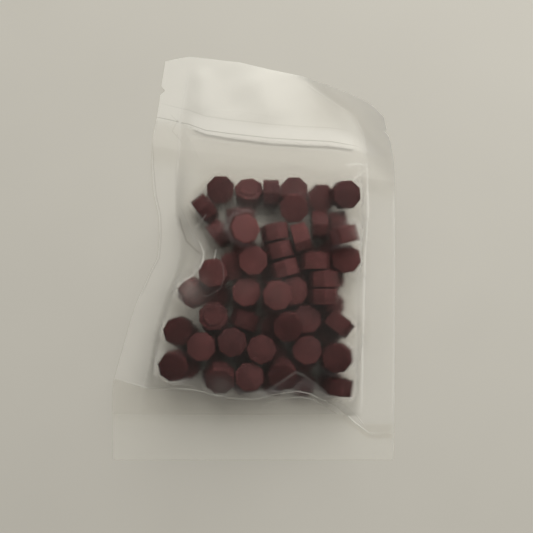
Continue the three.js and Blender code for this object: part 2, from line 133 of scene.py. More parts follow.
def deselect() -> None:
    """Leaves nothing selected and no mode but object mode."""
    if bpy.context.object and bpy.context.object.mode != "OBJECT":
        bpy.ops.object.mode_set(mode="OBJECT")
    bpy.ops.object.select_all(action="DESELECT")


def through(points: Sequence[tuple[float, float]], softness: float = 0.0) -> Line:
    """A line through points, rounded at its corners.

    Args:
        points: position and value pairs, in order.
        softness: how far each corner is rounded, along the positions.

    Returns:
        A function from positions to values, level past both ends.
    """
    at = np.array([p[0] for p in points], float)
    value = np.array([p[1] for p in points], float)

    def line(where: np.ndarray) -> np.ndarray:
        """The line's values.

        Args:
            where: positions along it.

        Returns:
            The value at each.
        """
        where = np.asarray(where, float)
        if not softness:
            return np.interp(where, at, value)
        offsets = np.linspace(-1, 1, 13)
        shares = np.exp(-2 * offsets**2)
        rows = [np.interp(where + softness * o, at, value) * s for o, s in zip(offsets, shares)]
        return sum(rows) / shares.sum()

    return line


def photo_line(pixels: Sequence[Pixel], z: float, along: str, softness: float) -> Line:
    """An outline read off the photograph.

    Args:
        pixels: its corners.
        z: its height over the table.
        along: "x" for a line that runs across the pouch, "y" for one that runs up it.
        softness: how far its corners are rounded.

    Returns:
        A function from places along the line to places across it.
    """
    places = [VIEW.place(p, z) for p in pixels]
    pairs = [(p.x, p.y) if along == "x" else (p.y, p.x) for p in places]
    return through(sorted(pairs), softness)


@dataclass(frozen=True)
class Notch:
    """A tear notch in a side edge."""

    pixel: Pixel
    depth: float = 1.5 * MM
    half_width: float = 1.3 * MM

    def cut(self, y: np.ndarray) -> np.ndarray:
        """How far it goes into the edge at places along it."""
        return self.depth * np.clip(1 - np.abs(y - VIEW.place(self.pixel).y) / self.half_width, 0, 1)


@dataclass(frozen=True)
class Outline:
    """The pouch's edges, as the photograph shows them."""

    left_notch: Notch = Notch((164, 91))
    right_notch: Notch = Notch((385, 134), 0.9 * MM, 0.8 * MM)
    left_side: Line = photo_line(
        [(113, 459), (113.5, 383), (124, 345), (131, 320), (137.5, 300.5), (144, 287), (151, 271),
         (158, 258), (160, 236), (159, 215), (154, 194), (152, 166), (153, 138), (157, 118),
         (160, 100), (161.4, 87.6), (165.6, 62)], 0, "y", 2 * MM)
    right_side: Line = photo_line(
        [(393, 459), (394.5, 400), (395, 200), (394.7, 174), (392.7, 159.3), (389.1, 144.5), (384.2, 131.2),
         (380.7, 120.8), (378.5, 112)], 0, "y", 1.2 * MM)
    left_inner: Line = photo_line(
        [(141, 459), (142, 411), (144, 391), (151, 363), (160, 316), (168, 292), (177, 272),
         (182, 252), (180, 232), (177, 215), (176, 200), (177, 166), (180, 144), (180, 113), (183, 103),
         (187, 82), (189, 58)], 0, "y", 2.5 * MM)
    right_inner: Line = photo_line(
        [(361, 459), (360, 421), (362, 326), (364, 256), (367, 213), (366, 170), (363, 134),
         (354, 117), (330, 100), (303, 81)], 0, "y", 2.5 * MM)
    mouth: Line = photo_line(
        [(164, 62), (189, 57), (241, 63), (269, 70), (302, 76.6), (320.5, 83.7), (341.2, 92.7), (357.6, 101),
         (371, 110.3), (380.7, 120.8), (390, 130)], 0, "x", 1.2 * MM)
    front_bottom: Line = photo_line(
        [(112, 381), (145, 391), (175, 386), (195, 387), (217, 391), (256, 397), (275, 391),
         (295, 388), (310, 392), (335, 405), (355, 425), (372, 438), (393, 437)],
        6 * MM, "x", 2.2 * MM)
    zip_line: Line = photo_line(
        [(141, 114), (170, 119.5), (188, 124), (206, 131), (230, 135), (269, 140), (300, 142),
         (330, 143), (357, 146.7), (364, 149.6), (395, 155)], 1.5 * MM, "x", 1.5 * MM)

    def left(self, y: np.ndarray) -> np.ndarray:
        """The left edge, with its notch."""
        return self.left_side(y) + self.left_notch.cut(y)

    def right(self, y: np.ndarray) -> np.ndarray:
        """The right edge, with its notch."""
        return self.right_side(y) - self.right_notch.cut(y)


EDGES = Outline()
SEAL_END: Pixel = (375, 422)


@dataclass
class HeightField:
    """Heights over the table on a square grid in plan."""

    step: float
    low: tuple[float, float]
    level: np.ndarray

    def grid(self) -> tuple[np.ndarray, np.ndarray]:
        """The plan places of its points.

        Returns:
            The places across and along, first index across, second along.
        """
        across = self.low[0] + self.step * np.arange(self.level.shape[0])
        along = self.low[1] + self.step * np.arange(self.level.shape[1])
        return np.meshgrid(across, along, indexing="ij")

    def like(self, level: np.ndarray) -> "HeightField":
        """Another field on the same grid."""
        return HeightField(self.step, self.low, level.astype(float))

    def at(self, x: np.ndarray, y: np.ndarray) -> np.ndarray:
        """The heights at places between its points.

        Args:
            x: places across.
            y: places along.

        Returns:
            Their heights.
        """
        i = np.clip((x - self.low[0]) / self.step, 0, self.level.shape[0] - 1.001)
        j = np.clip((y - self.low[1]) / self.step, 0, self.level.shape[1] - 1.001)
        a, b = np.floor(i).astype(int), np.floor(j).astype(int)
        u, v = i - a, j - b
        h = self.level
        south = h[a, b] * (1 - u) + h[a + 1, b] * u
        north = h[a, b + 1] * (1 - u) + h[a + 1, b + 1] * u
        return south * (1 - v) + north * v

    def softened(self, reach: float) -> np.ndarray:
        """Its heights, each the mean of those within about that reach.

        Args:
            reach: how far the mean goes out.

        Returns:
            Heights at its points.
        """
        size = [2 * n for n in self.level.shape]
        padded = np.pad(self.level, [(0, n) for n in self.level.shape], mode="symmetric")
        waves = [np.fft.fftfreq(size[0])[:, None], np.fft.rfftfreq(size[1])[None, :]]
        share = np.exp(-2 * (math.pi * reach / self.step) ** 2 * (waves[0] ** 2 + waves[1] ** 2))
        soft = np.fft.irfft2(np.fft.rfft2(padded) * share, s=size)
        return soft[: self.level.shape[0], : self.level.shape[1]]


def smooth_step(value: np.ndarray) -> np.ndarray:
    """Zero below 0, one above 1 and smooth between."""
    value = np.clip(value, 0, 1)
    return value * value * (3 - 2 * value)


def end_fade(share: np.ndarray, part: float) -> np.ndarray:
    """One along a run, falling to zero within a part of it at both ends."""
    return smooth_step(share / part) * smooth_step((1 - share) / part)


def distance_to(pixels: Sequence[Pixel], z: float, x: np.ndarray,
                y: np.ndarray) -> tuple[np.ndarray, np.ndarray]:
    """How far places lie from a run of straight pieces, below zero on the right of it.

    Args:
        pixels: the run's corners in the photograph.
        z: its height over the table.
        x: places across.
        y: places along.

    Returns:
        The distances, and where along the run each nearest point lies, from 0 to 1.
    """
    corners = [VIEW.place(p, z) for p in pixels]
    lengths = [(b - a).length for a, b in zip(corners, corners[1:])]
    nearest, share, gone = np.full(x.shape, np.inf), np.zeros(x.shape), 0.0
    side = np.ones(x.shape)
    for (a, b), length in zip(zip(corners, corners[1:]), lengths):
        t = np.clip(((x - a.x) * (b.x - a.x) + (y - a.y) * (b.y - a.y)) / length**2, 0, 1)
        d = np.hypot(x - a.x - t * (b.x - a.x), y - a.y - t * (b.y - a.y))
        closer = d < nearest
        nearest[closer] = d[closer]
        left = (b.x - a.x) * (y - a.y) - (b.y - a.y) * (x - a.x)
        side[closer] = np.where(left[closer] < 0, -1, 1)
        share[closer] = (gone + t[closer] * length) / sum(lengths)
        gone += length
    return nearest * side, share


@dataclass(frozen=True)
class PaintedFoldLine:
    """A thin line where the film is folded or its edge lies: a painted highlight where its strength is above
    zero, in part the film's own whitening at a crease, and painted shade where it is below zero.
    """

    pixels: tuple[Pixel, ...]
    strength: float
    channel: int = 0
    z: float = 5 * MM
    width: float = 0.28 * MM
    reach: float = 1.3 * MM
    core: float = 0.6
    fade: float = 0.125

    def mark(self, x: np.ndarray, y: np.ndarray, away: np.ndarray, strength: np.ndarray) -> None:
        """Writes it into a sheet's arrays of three channels, where it lies nearer than their lines so far.

        Args:
            x: the sheet's places across.
            y: its places along.
            away: distances in widths, changed in place.
            strength: how strongly each line shows, changed in place.
        """
        distance, share = distance_to(self.pixels, self.z, x, y)
        past_core = (np.abs(distance) - self.core * self.reach) / ((1 - self.core) * self.reach)
        shown = self.strength * end_fade(share, self.fade) * (1 - smooth_step(past_core))
        widths = distance / self.width
        nearer = (np.abs(distance) < self.reach) & (np.abs(widths) < np.abs(away[..., self.channel]))
        away[nearer, self.channel] = widths[nearer]
        strength[nearer, self.channel] = shown[nearer]


PINCH: tuple[Pixel, ...] = (
    (177, 201), (183, 212), (190, 226), (197, 238), (203, 246), (206, 253), (206, 261), (203, 268),
    (197, 274), (186, 281), (175, 290), (164, 302),
)
# Painted highlights where the strength is above zero and painted shade where it is below zero, along the
# film's folds, its edges, the seals and the zip.
PAINTED_FOLD_LINES = (
    # The pinch in the left side: painted highlights on its ridges and painted shade on its dark facet
    PaintedFoldLine(PINCH, 0.42, width=0.45 * MM),
    PaintedFoldLine(((218.5, 250), (217.5, 254), (216.5, 260)), 0.25, 1, width=0.4 * MM),
    PaintedFoldLine(((221, 256), (225, 266), (226, 277), (223, 287), (217, 291), (210, 295), (202, 294)), 0.05, 2),
    PaintedFoldLine(((178, 214), (181, 228), (186, 241), (194, 248), (205, 256)), -0.35, 2, width=0.6 * MM),
    PaintedFoldLine(((208, 215), (200, 225), (193, 231)), 0.18, 1),
    # The front's bottom edge, the gusset's fold under it and the dent above it: painted highlights
    PaintedFoldLine(((111, 381.5), (145, 390.5), (175, 385.5), (195, 386.5), (217, 391), (232, 395), (256, 396.5),
              (275, 390.5), (295, 387.5), (310, 391.5), (335, 404.5), (355, 424.5), (372, 437), (392, 436.5)),
             0.8, 0, 6 * MM, 0.32 * MM),
    PaintedFoldLine(((258, 405), (275, 399), (287, 396), (300, 395), (312, 398), (325, 406), (338, 416), (350, 426),
              (362, 436)), 0.9, 2, 6 * MM),
    PaintedFoldLine(((254, 396), (266, 389), (276, 382), (286, 375), (295, 369), (303, 373), (312, 380), (322, 388),
              (332, 396)), 0.06, 1, 10 * MM, 0.7 * MM),
    PaintedFoldLine(((150, 387), (165, 383), (180, 381), (192, 381), (201, 386)), 0.3, 1),
    PaintedFoldLine(((316, 387), (330, 394), (345, 405), (358, 418), (368, 431)), 0.4, 1, 6 * MM),
    # The zip: painted shade along its rib's line, and painted highlights and shade along its tape's edges and
    # its crushed end
    PaintedFoldLine(((138, 113), (170, 119.5), (188, 124), (206, 131), (230, 135), (269, 140), (300, 142),
              (330, 143), (357, 146.7), (367, 150)), -0.55, 0, 1.5 * MM, 0.25 * MM),
    PaintedFoldLine(((152, 101), (188, 110), (206, 117), (230, 121), (269, 126), (300, 128), (330, 129), (356, 132)),
             -0.15, 1, 1 * MM, 0.3 * MM),
    PaintedFoldLine(((180, 133), (206, 140), (230, 144), (269, 149), (300, 151), (330, 152), (358, 156)),
             0.2, 2, 1.5 * MM, 0.35 * MM),
    PaintedFoldLine(((169, 113), (177, 121), (172, 131), (183, 143)), -0.16, 2, 1 * MM),
    PaintedFoldLine(((196, 107), (212, 111), (238, 112), (262, 117), (284, 121)), 0.1, 2, 1 * MM, 0.5 * MM),
    # The seals' inner edges, and the pouch's own: painted highlights, with painted shade along the left outer
    # edge, and painted highlights on the pleats under the zip's ends
    PaintedFoldLine(((189, 60), (187, 82), (183, 103), (180, 126), (179, 150), (177, 175), (177, 196)),
             0.3, 0, 1 * MM, 0.4 * MM),
    PaintedFoldLine(((367, 160), (368, 213), (365, 256), (363, 326), (361, 420)), 0.6, 0, 1 * MM, 0.4 * MM),
    PaintedFoldLine(((303, 82), (330, 101), (354, 118), (363, 135), (366, 158)), 0.25, 1, 1 * MM, 0.4 * MM),
    PaintedFoldLine(((153.5, 140), (153.5, 166), (156, 194), (160.5, 215), (161.5, 236), (159.5, 258), (152.5, 271),
              (145.5, 287), (139, 301)), -0.3, 0, 0.5 * MM, 0.3 * MM),
    PaintedFoldLine(((393.5, 180), (394, 250), (393.5, 330), (392.5, 425)), 0.4, 0, 0.5 * MM, 0.35 * MM),
    PaintedFoldLine(((183, 130), (192, 143), (199, 160)), 0.15, 1, 3 * MM, 0.5 * MM),
    PaintedFoldLine(((371, 165), (358, 164.5), (343, 167)), 0.3, 2, 2 * MM, 0.5 * MM),
    PaintedFoldLine(((371, 167), (361, 173), (350, 183)), 0.25, 1, 3 * MM, 0.5 * MM),
)


@dataclass(frozen=True)
class Crease:
    """A fold in the film: a ridge where its rise is above zero, a valley where it is below."""

    pixels: tuple[Pixel, ...]
    rise: float
    width: float
    z: float = 5 * MM
    sharpness: float = 1.7
    fade: float = 0.25

    def heights(self, x: np.ndarray, y: np.ndarray) -> np.ndarray:
        """What it adds to the film at places in plan.

        Args:
            x: places across.
            y: places along.

        Returns:
            Rises, below zero in a valley.
        """
        away, share = distance_to(self.pixels, self.z, x, y)
        profile = np.exp(-((np.abs(away) / self.width) ** self.sharpness))
        return self.rise * end_fade(share, self.fade) * profile


@dataclass(frozen=True)
class Curl:
    """The top right corner, which rolls up past a line across it."""

    radius: float = 15 * MM
    from_middle: float = 8 * MM
    below_top: float = 2 * MM
    down_side: float = 44 * MM
    steepest: float = math.radians(70)
    haze_lost: float = 0.7
    steep_from: float = 2 * MM

    def haze(self, x: np.ndarray, y: np.ndarray) -> np.ndarray:
        """The share of the film's haze that shows: less where it is rolled up steeply."""
        return 1 - self.haze_lost * smooth_step(self.heights(x, y) / self.steep_from)

    def heights(self, x: np.ndarray, y: np.ndarray) -> np.ndarray:
        """How far the corner lifts the film at places in plan.

        Args:
            x: places across.
            y: places along.

        Returns:
            Lifts, zero before the line that it rolls up at.
        """
        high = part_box("back_film")[1]
        start = Vector((self.from_middle, high.y - self.below_top))
        end = Vector((high.x, high.y - self.down_side))
        along = (end - start).normalized()
        past = np.maximum(along.x * (y - start.y) - along.y * (x - start.x), 0)
        room = (self.radius * math.cos(self.steepest)) ** 2
        return self.radius - np.sqrt(np.maximum(self.radius**2 - past**2, room))


@dataclass
class Cad:
    """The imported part: its nodes by name, and the hinge that the mouth opens about."""

    nodes: dict[str, bpy.types.Object]
    joints: list[dict]

    def beads(self) -> list[str]:
        """The beads that are nodes of their own."""
        return sorted(n for n in self.nodes if n.startswith("bead_"))

    def highest_beads(self, count: int) -> list[str]:
        """The beads that reach highest, which carry the front film."""
        return sorted(self.beads(), key=lambda name: -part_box(name)[1].z)[:count]

    def bead_columns(self) -> list[str]:
        """The columns of the pile's lowest layer."""
        return sorted(n for n in self.nodes if n.startswith("lower_beads_"))

    def hinge(self) -> Line:
        """The line below the zip where the opened mouth starts to lift.

        Returns:
            A function from places across the pouch to places along it.
        """
        joint = next(j for j in self.joints if j["name"] == "mouth_open")
        at, axis = joint["pos_m"], joint["axis"]
        return lambda x: at[1] + (np.asarray(x, float) - at[0]) * axis[1] / axis[0]

    def tops(self, names: Sequence[str], x: np.ndarray, y: np.ndarray) -> np.ndarray:
        """The highest point of some nodes at places in plan.

        Args:
            names: the nodes.
            x: places across.
            y: places along.

        Returns:
            Heights over the table, 0 where no node lies.
        """
        solids = bmesh.new()
        for name in names:
            solids.from_mesh(self.nodes[name].data)
        tree = BVHTree.FromBMesh(solids)
        solids.free()
        found = np.zeros(x.size)
        for k, (a, b) in enumerate(zip(x.ravel(), y.ravel())):
            hit = tree.ray_cast(Vector((a, b, 60 * MM)), Vector((0, 0, -1)))[0]
            found[k] = hit.z if hit else 0
        return found.reshape(x.shape)


@dataclass(frozen=True)
class Spot:
    """A round patch of film that is hazier or clearer than the film round it."""

    pixel: Pixel
    reach: float
    amount: float
    z: float

    def share(self, x: np.ndarray, y: np.ndarray) -> np.ndarray:
        """How strong it is at places in plan."""
        place = VIEW.place(self.pixel, self.z)
        return self.amount * np.exp(-(((x - place.x) ** 2 + (y - place.y) ** 2) / self.reach**2))


@dataclass
class Skin:
    """The front film's shape: drawn over the pile, pinched at the left and creased."""

    cad: Cad
    step: float = 0.5 * MM
    clearance: float = 0.12 * MM
    seal_height: float = 0.45 * MM
    zip_height: float = 0.95 * MM
    zip_half_width: float = 2.0 * MM
    margin: float = 15 * MM
    # Taut where it hangs free, close on the pile
    taut_reaches: tuple[float, ...] = (9 * MM, 6 * MM, 4 * MM, 2.5 * MM, 1.5 * MM)
    taut_rounds: int = 30
    close_reaches: tuple[float, ...] = (2.6 * MM, 1.8 * MM, 1.2 * MM)
    close_rounds: int = 8
    cling: float = 0.97
    cling_gain: float = 2.6
    cling_start: float = 0.2
    pile_reach: float = 2.5 * MM
    # How its edges and creases are evened out
    edge_reach: float = 1 * MM
    seal_ease: float = 2.6 * MM
    ease_reach: float = 0.5 * MM
    pile_gain: float = 3
    pile_evening: float = 0.35 * MM
    free_evening: float = 1 * MM
    # Haze: less near the pile, high up and on the slope below the zip
    near_gain: float = 2.2
    clear_height: float = 9 * MM
    height_clearness: float = 0.7
    slope_clearness: float = 0.6
    slope_rise: float = 2 * MM
    slope_end: float = 16 * MM
    slope_fall: float = 6 * MM
    # More haze in spots: the film's own milkiness, and at the right, between the pile and the seal, a painted
    # highlight.
    haze_and_highlight_spots: tuple[Spot, ...] = (
        Spot((191, 289), 4.5 * MM, 0.26, 8 * MM), Spot((222, 384), 3 * MM, 0.15, 8 * MM),
        Spot((244, 286), 4 * MM, 0.03, 8 * MM), Spot((276, 292), 4 * MM, 0.03, 8 * MM),
        Spot((359, 232), 2.5 * MM, 0.3, 8 * MM),
    )
    # Clearer film in spots, so that what lies under it shows darker: painted shade at the header's right,
    # beside the pile's right edge and in the pinch.
    shade_spots: tuple[Spot, ...] = (
        Spot((332, 108), 11 * MM, 0.7, 4 * MM), Spot((356, 332), 5 * MM, 0.75, 4 * MM),
        Spot((190, 238), 6 * MM, 0.25, 4 * MM),
    )
    creases: tuple[Crease, ...] = (
        # The pinch in the left side
        Crease(PINCH, 1.8 * MM, 1.3 * MM),
        Crease(((180, 220), (186, 236), (197, 252)), -2.4 * MM, 1.7 * MM),
        Crease(((182, 264), (192, 268), (200, 266)), -1.6 * MM, 1.6 * MM),
        Crease(((200, 222), (206, 232), (212, 246)), -1.0 * MM, 1.3 * MM),
        # Above the front's bottom edge
        Crease(((256, 394), (276, 382), (294, 369)), 1.1 * MM, 1.6 * MM, 10 * MM),
        Crease(((295, 369), (312, 380), (330, 393)), 1.1 * MM, 1.6 * MM, 10 * MM),
        Crease(((150, 384), (180, 372), (205, 372)), 0.8 * MM, 1.5 * MM),
        # Pleats under the zip's ends, and soft folds in the lip
        Crease(((183, 130), (192, 143), (199, 160)), 0.4 * MM, 1.0 * MM),
        Crease(((371, 167), (361, 173), (350, 183)), 0.5 * MM, 1.2 * MM),
        Crease(((250, 70), (262, 95), (276, 128)), 1.0 * MM, 6 * MM, 1 * MM),
        Crease(((222, 66), (226, 90), (236, 118)), -0.3 * MM, 5 * MM, 1 * MM),
        Crease(((300, 90), (312, 108), (320, 134)), -0.4 * MM, 6 * MM, 1 * MM),
        Crease(((204, 66), (202, 90), (198, 118)), 0.7 * MM, 3 * MM, 1 * MM),
        Crease(((340, 108), (346, 122), (350, 138)), 0.5 * MM, 3 * MM, 1 * MM),
    )
    field_: HeightField | None = field(default=None, init=False)
    free: HeightField | None = field(default=None, init=False)

    def drape(self) -> "Skin":
        """Draws the film over the pile and the zip, then creases it.

        Returns:
            The skin, with its heights and haze.
        """
        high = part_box("back_film")[1]
        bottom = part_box("base_skirt")[0]
        count = (int((high.x - bottom.x) / self.step) + 2, int((high.y - bottom.y) / self.step) + 2)
        sheet = HeightField(self.step, (bottom.x, bottom.y), np.zeros(count))
        x, y = sheet.grid()
        outside = (x < EDGES.left_inner(y)) | (x > EDGES.right_inner(y))
        outside |= (y < bottom.y + self.margin) | (y > EDGES.mouth(x))
        top = self.cad.tops(self.cad.beads() + self.cad.bead_columns(), x, y)
        top = np.maximum.reduce([np.roll(top, (i, j), (0, 1)) for i in (-1, 0, 1) for j in (-1, 0, 1)])
        near = sheet.like(top > 0).softened(self.pile_reach)
        floor = self.floor(x, y, top, outside)
        taut = self.stretch(floor, outside, self.taut_reaches, self.taut_rounds, sheet)
        close = self.stretch(floor, outside, self.close_reaches, self.close_rounds, sheet)
        share = smooth_step(near * self.cling_gain - self.cling_start) * self.cling
        sheet.level = taut * (1 - share) + close * share
        lift = sum(c.heights(x, y) for c in self.creases)
        inside = 1 - sheet.like(outside).softened(self.edge_reach)
        sheet.level = np.maximum(sheet.level + lift * inside**2, floor)
        inset = np.minimum(x - EDGES.left_inner(y), EDGES.right_inner(y) - x) / self.seal_ease
        rise = np.where(outside, self.seal_height, sheet.softened(self.ease_reach)) - self.seal_height
        eased = self.seal_height + rise * smooth_step(inset)
        sheet.level = np.where(top > 0, np.maximum(eased, sheet.level), eased)
        on_pile = smooth_step(near * self.pile_gain)
        piled, free = sheet.softened(self.pile_evening), sheet.softened(self.free_evening)
        evened = piled * on_pile + free * (1 - on_pile)
        sheet.level = np.where(outside, self.seal_height, evened)
        self.field_ = sheet
        self.free = sheet.like(self.hanging(x, y, near))
        return self

    def floor(self, x: np.ndarray, y: np.ndarray, top: np.ndarray, outside: np.ndarray) -> np.ndarray:
        """The least height of the film's underside.

        Args:
            x: places across.
            y: places along.
            top: the pile's height there, 0 where no bead lies.
            outside: where the film is welded down.

        Returns:
            Heights over the table.
        """
        floor = np.where(top > 0, np.maximum(self.seal_height, top + self.clearance), self.seal_height)
        on_zip = np.abs(y - EDGES.zip_line(x)) < self.zip_half_width
        floor = np.where(on_zip, np.maximum(floor, self.zip_height), floor)
        return np.where(outside, self.seal_height, floor)

    def stretch(self, floor: np.ndarray, outside: np.ndarray, reaches: Sequence[float], rounds: int,
                sheet: HeightField) -> np.ndarray:
        """A film drawn over what holds it up.

        Args:
            floor: the least height at each point.
            outside: where the film is welded down.
            reaches: how far it evens out, from the first rounds to the last.
            rounds: how often, for each reach.
            sheet: the grid.

        Returns:
            Its heights.
        """
        drawn = sheet.like(floor)
        for reach in reaches:
            for _ in range(rounds):
                drawn.level = np.where(outside, floor, np.maximum(drawn.softened(reach), floor))
        return drawn.level

    def hanging(self, x: np.ndarray, y: np.ndarray, near: np.ndarray) -> np.ndarray:
        """How hazy the film looks, once its heights are known.

        Args:
            x: places across.
            y: places along.
            near: how near the pile is, from 0 to 1.

        Returns:
            0 where it lies on the pile, up to 1 where it hangs free.
        """
        high = smooth_step(self.field_.level / self.clear_height)
        free = (1 - smooth_step(self.near_gain * near)) * (1 - self.height_clearness * high)
        for spot in self.haze_and_highlight_spots:
            free = np.maximum(free, spot.share(x, y))
        past = EDGES.zip_line(x) - y - self.zip_half_width
        below_zip = smooth_step((past + self.slope_rise) / self.slope_rise)
        slope = below_zip * smooth_step((self.slope_end - past) / self.slope_fall)
        free = free * (1 - self.slope_clearness * slope)
        for spot in self.shade_spots:
            free = free * (1 - spot.share(x, y))
        return free

    def heights(self, x: np.ndarray, y: np.ndarray) -> np.ndarray:
        """The film's underside over the table, without the rolled corner."""
        return self.field_.at(x, y)

    def haze(self, x: np.ndarray, y: np.ndarray) -> np.ndarray:
        """How hazy the film looks: 0 where it lies on the pile, 1 where it hangs free."""
        return self.free.at(x, y)


@dataclass(frozen=True)
class Patch:
    """A four-sided stretch of film in plan, between two lines up it and two across it."""

    left: Line
    right: Line
    bottom: Line
    top: Line
    step: float = 0.5 * MM

    def places(self) -> tuple[np.ndarray, np.ndarray]:
        """A grid of places that fills the patch.

        Returns:
            The places across and along, first index across, second index along.
        """
        middle = (self.left(np.zeros(1)) + self.right(np.zeros(1)))[0] / 2
        ends = [self.bottom(np.array([middle]))[0], self.top(np.array([middle]))[0]]
        half = np.array([(ends[0] + ends[1]) / 2])
        wide = float((self.right(half) - self.left(half))[0])
        count = (max(int(wide / self.step), 3), max(int((ends[1] - ends[0]) / self.step), 2))
        u, v = np.meshgrid(np.linspace(0, 1, count[0] + 1), np.linspace(0, 1, count[1] + 1), indexing="ij")
        y = ends[0] + (ends[1] - ends[0]) * v
        for _ in range(60):
            x = self.left(y) * (1 - u) + self.right(y) * u
            y = y * 0.3 + (self.bottom(x) * (1 - v) + self.top(x) * v) * 0.7
        return x, y


def write_points(mesh: bpy.types.Mesh, key: str, values: np.ndarray) -> None:
    """Stores values for a mesh's points: numbers from a flat array, vectors from one with more axes."""
    kind, part = ("FLOAT", "value") if values.ndim == 1 else ("FLOAT_VECTOR", "vector")
    mesh.attributes.new(key, kind, "POINT").data.foreach_set(part, values.astype(np.float32).ravel())


def film_sheet(name: str, x: np.ndarray, y: np.ndarray, z: np.ndarray, thickness: float,
               haze: np.ndarray, lines: Sequence[PaintedFoldLine] = ()) -> bpy.types.Object:
    """A sheet of film through a grid of points, with its thickness above them.

    Args:
        name: the piece's name.
        x: places across.
        y: places along.
        z: heights of its underside.
        thickness: the film's.
        haze: how hazy it looks at each point.
        lines: the thin lines that show in it.

    Returns:
        The finished piece, at the origin.
    """
    across, along = x.shape
    corner = np.arange(across * along).reshape(across, along)
    quads = np.stack([corner[:-1, :-1], corner[1:, :-1], corner[1:, 1:], corner[:-1, 1:]], -1).reshape(-1, 4)
    mesh = bpy.data.meshes.new(name)
    mesh.from_pydata(np.stack([x, y, z], -1).reshape(-1, 3).tolist(), [], quads.tolist())
    away, strength = np.full((*x.shape, 3), FAR_AWAY), np.zeros((*x.shape, 3))
    for line in lines:
        line.mark(x, y, away, strength)
    write_points(mesh, "line_away", away)
    write_points(mesh, "line_strength", strength)
    write_points(mesh, "haze", haze.ravel())
    piece = bpy.data.objects.new(name, mesh)
    bpy.context.scene.collection.objects.link(piece)
    deselect()
    bpy.context.view_layer.objects.active = piece
    piece.select_set(True)
    wall = piece.modifiers.new("thickness", "SOLIDIFY")
    wall.thickness = thickness
    wall.offset = 1
    bpy.ops.object.modifier_apply(modifier=wall.name)
    bpy.ops.object.shade_smooth_by_angle(angle=math.radians(60))
    piece.select_set(False)
    return piece


class Nodes:
    """A material's node tree, with its nodes made and joined one line each."""

    def __init__(self, name: str) -> None:
        """An empty material of that name.

        Args:
            name: the material's name.
        """
        self.material = bpy.data.materials.new(name)
        self.material.use_nodes = True
        self.tree = self.material.node_tree
        self.tree.nodes.clear()
        self.output = self.add("ShaderNodeOutputMaterial")

    def feed(self, end: bpy.types.NodeSocket, source: object) -> None:
        """Joins an input to a socket, or gives it a plain value.

        Args:
            end: the input.
            source: an output socket, or a value.
        """
        if isinstance(source, bpy.types.NodeSocket):
            self.tree.links.new(source, end)
        else:
            end.default_value = source

    def add(self, kind: str, **inputs: object) -> bpy.types.Node:
        """A node of a kind."""
        return self.fill(self.tree.nodes.new(kind), inputs)

    def fill(self, node: bpy.types.Node, inputs: dict[str, object]) -> bpy.types.Node:
        """Gives a node its inputs.

        Args:
            node: the node.
            inputs: sockets or plain values, by the inputs' names with _ for spaces.

        Returns:
            The node.
        """
        for key, source in inputs.items():
            self.feed(node.inputs[key.replace("_", " ")], source)
        return node

    def group(self, tree: bpy.types.NodeTree, **inputs: object) -> bpy.types.Node:
        """A node that stands for a group.

        Args:
            tree: the group's tree.
            inputs: as for fill.

        Returns:
            The node.
        """
        node = self.tree.nodes.new("ShaderNodeGroup")
        node.node_tree = tree
        return self.fill(node, inputs)

    def grain(self, tree: bpy.types.NodeTree, place: bpy.types.NodeSocket,
              scales: tuple[float, float]) -> bpy.types.NodeOutputs:
        """The outputs of the shared grain group, at a fine and a slow scale."""
        return self.group(tree, Vector=place, Fine_Scale=scales[0], Slow_Scale=scales[1]).outputs

    def attribute(self, name: str, output: str) -> bpy.types.NodeSocket:
        """An output of a mesh attribute.

        Args:
            name: the attribute's name.
            output: the output's name.

        Returns:
            The output socket.
        """
        node = self.add("ShaderNodeAttribute")
        node.attribute_name = name
        return node.outputs[output]

    def maths(self, operation: str, first: object, second: object,
              clamp: bool = False) -> bpy.types.NodeSocket:
        """The result of an operation on two sockets or plain values.

        Args:
            operation: its name.
            first: a socket or a value.
            second: a socket or a value.
            clamp: whether the result is kept from 0 to 1.

        Returns:
            The result's socket.
        """
        node = self.add("ShaderNodeMath")
        node.operation = operation
        node.use_clamp = clamp
        self.feed(node.inputs[0], first)
        self.feed(node.inputs[1], second)
        return node.outputs["Value"]

    def between(self, share: object, first: object, second: object, kind: str) -> bpy.types.NodeSocket:
        """A mix of two numbers (kind FLOAT) or two colours (kind RGBA).

        Args:
            share: the second one's share.
            first: a socket or a value.
            second: a socket or a value.
            kind: FLOAT or RGBA.

        Returns:
            The mix's socket.
        """
        node = self.add("ShaderNodeMix")
        node.data_type = kind
        for key, source in (("Factor", share), ("A", first), ("B", second)):
            self.feed(node.inputs[key], source)
        return node.outputs["Result"]

    def ranged(self, source: bpy.types.NodeSocket, low: float, high: float) -> bpy.types.NodeSocket:
        """A mask from 0 to 1, spread from one value to another."""
        return self.add("ShaderNodeMapRange", Value=source, To_Min=low, To_Max=high).outputs["Result"]

    def shaders(self, share: bpy.types.NodeSocket, *parts: bpy.types.NodeSocket) -> bpy.types.NodeSocket:
        """A mix of two shaders.

        Args:
            share: the second one's share.
            parts: the two shaders.

        Returns:
            The mix's socket.
        """
        node = self.add("ShaderNodeMixShader")
        for end, source in zip(node.inputs, (share, *parts)):
            self.feed(end, source)
        return node.outputs[0]

    def bump(self, height: bpy.types.NodeSocket, distance: float, strength: float = 1.0,
             **under: bpy.types.NodeSocket) -> bpy.types.NodeSocket:
        """The normal of a relief, over that of another one where it is given as Normal."""
        node = self.add("ShaderNodeBump", Height=height, Distance=distance, Strength=strength, **under)
        return node.outputs["Normal"]

    def finished(self, surface: bpy.types.NodeSocket) -> bpy.types.Material:
        """The material, with that surface."""
        self.feed(self.output.inputs["Surface"], surface)
        return self.material


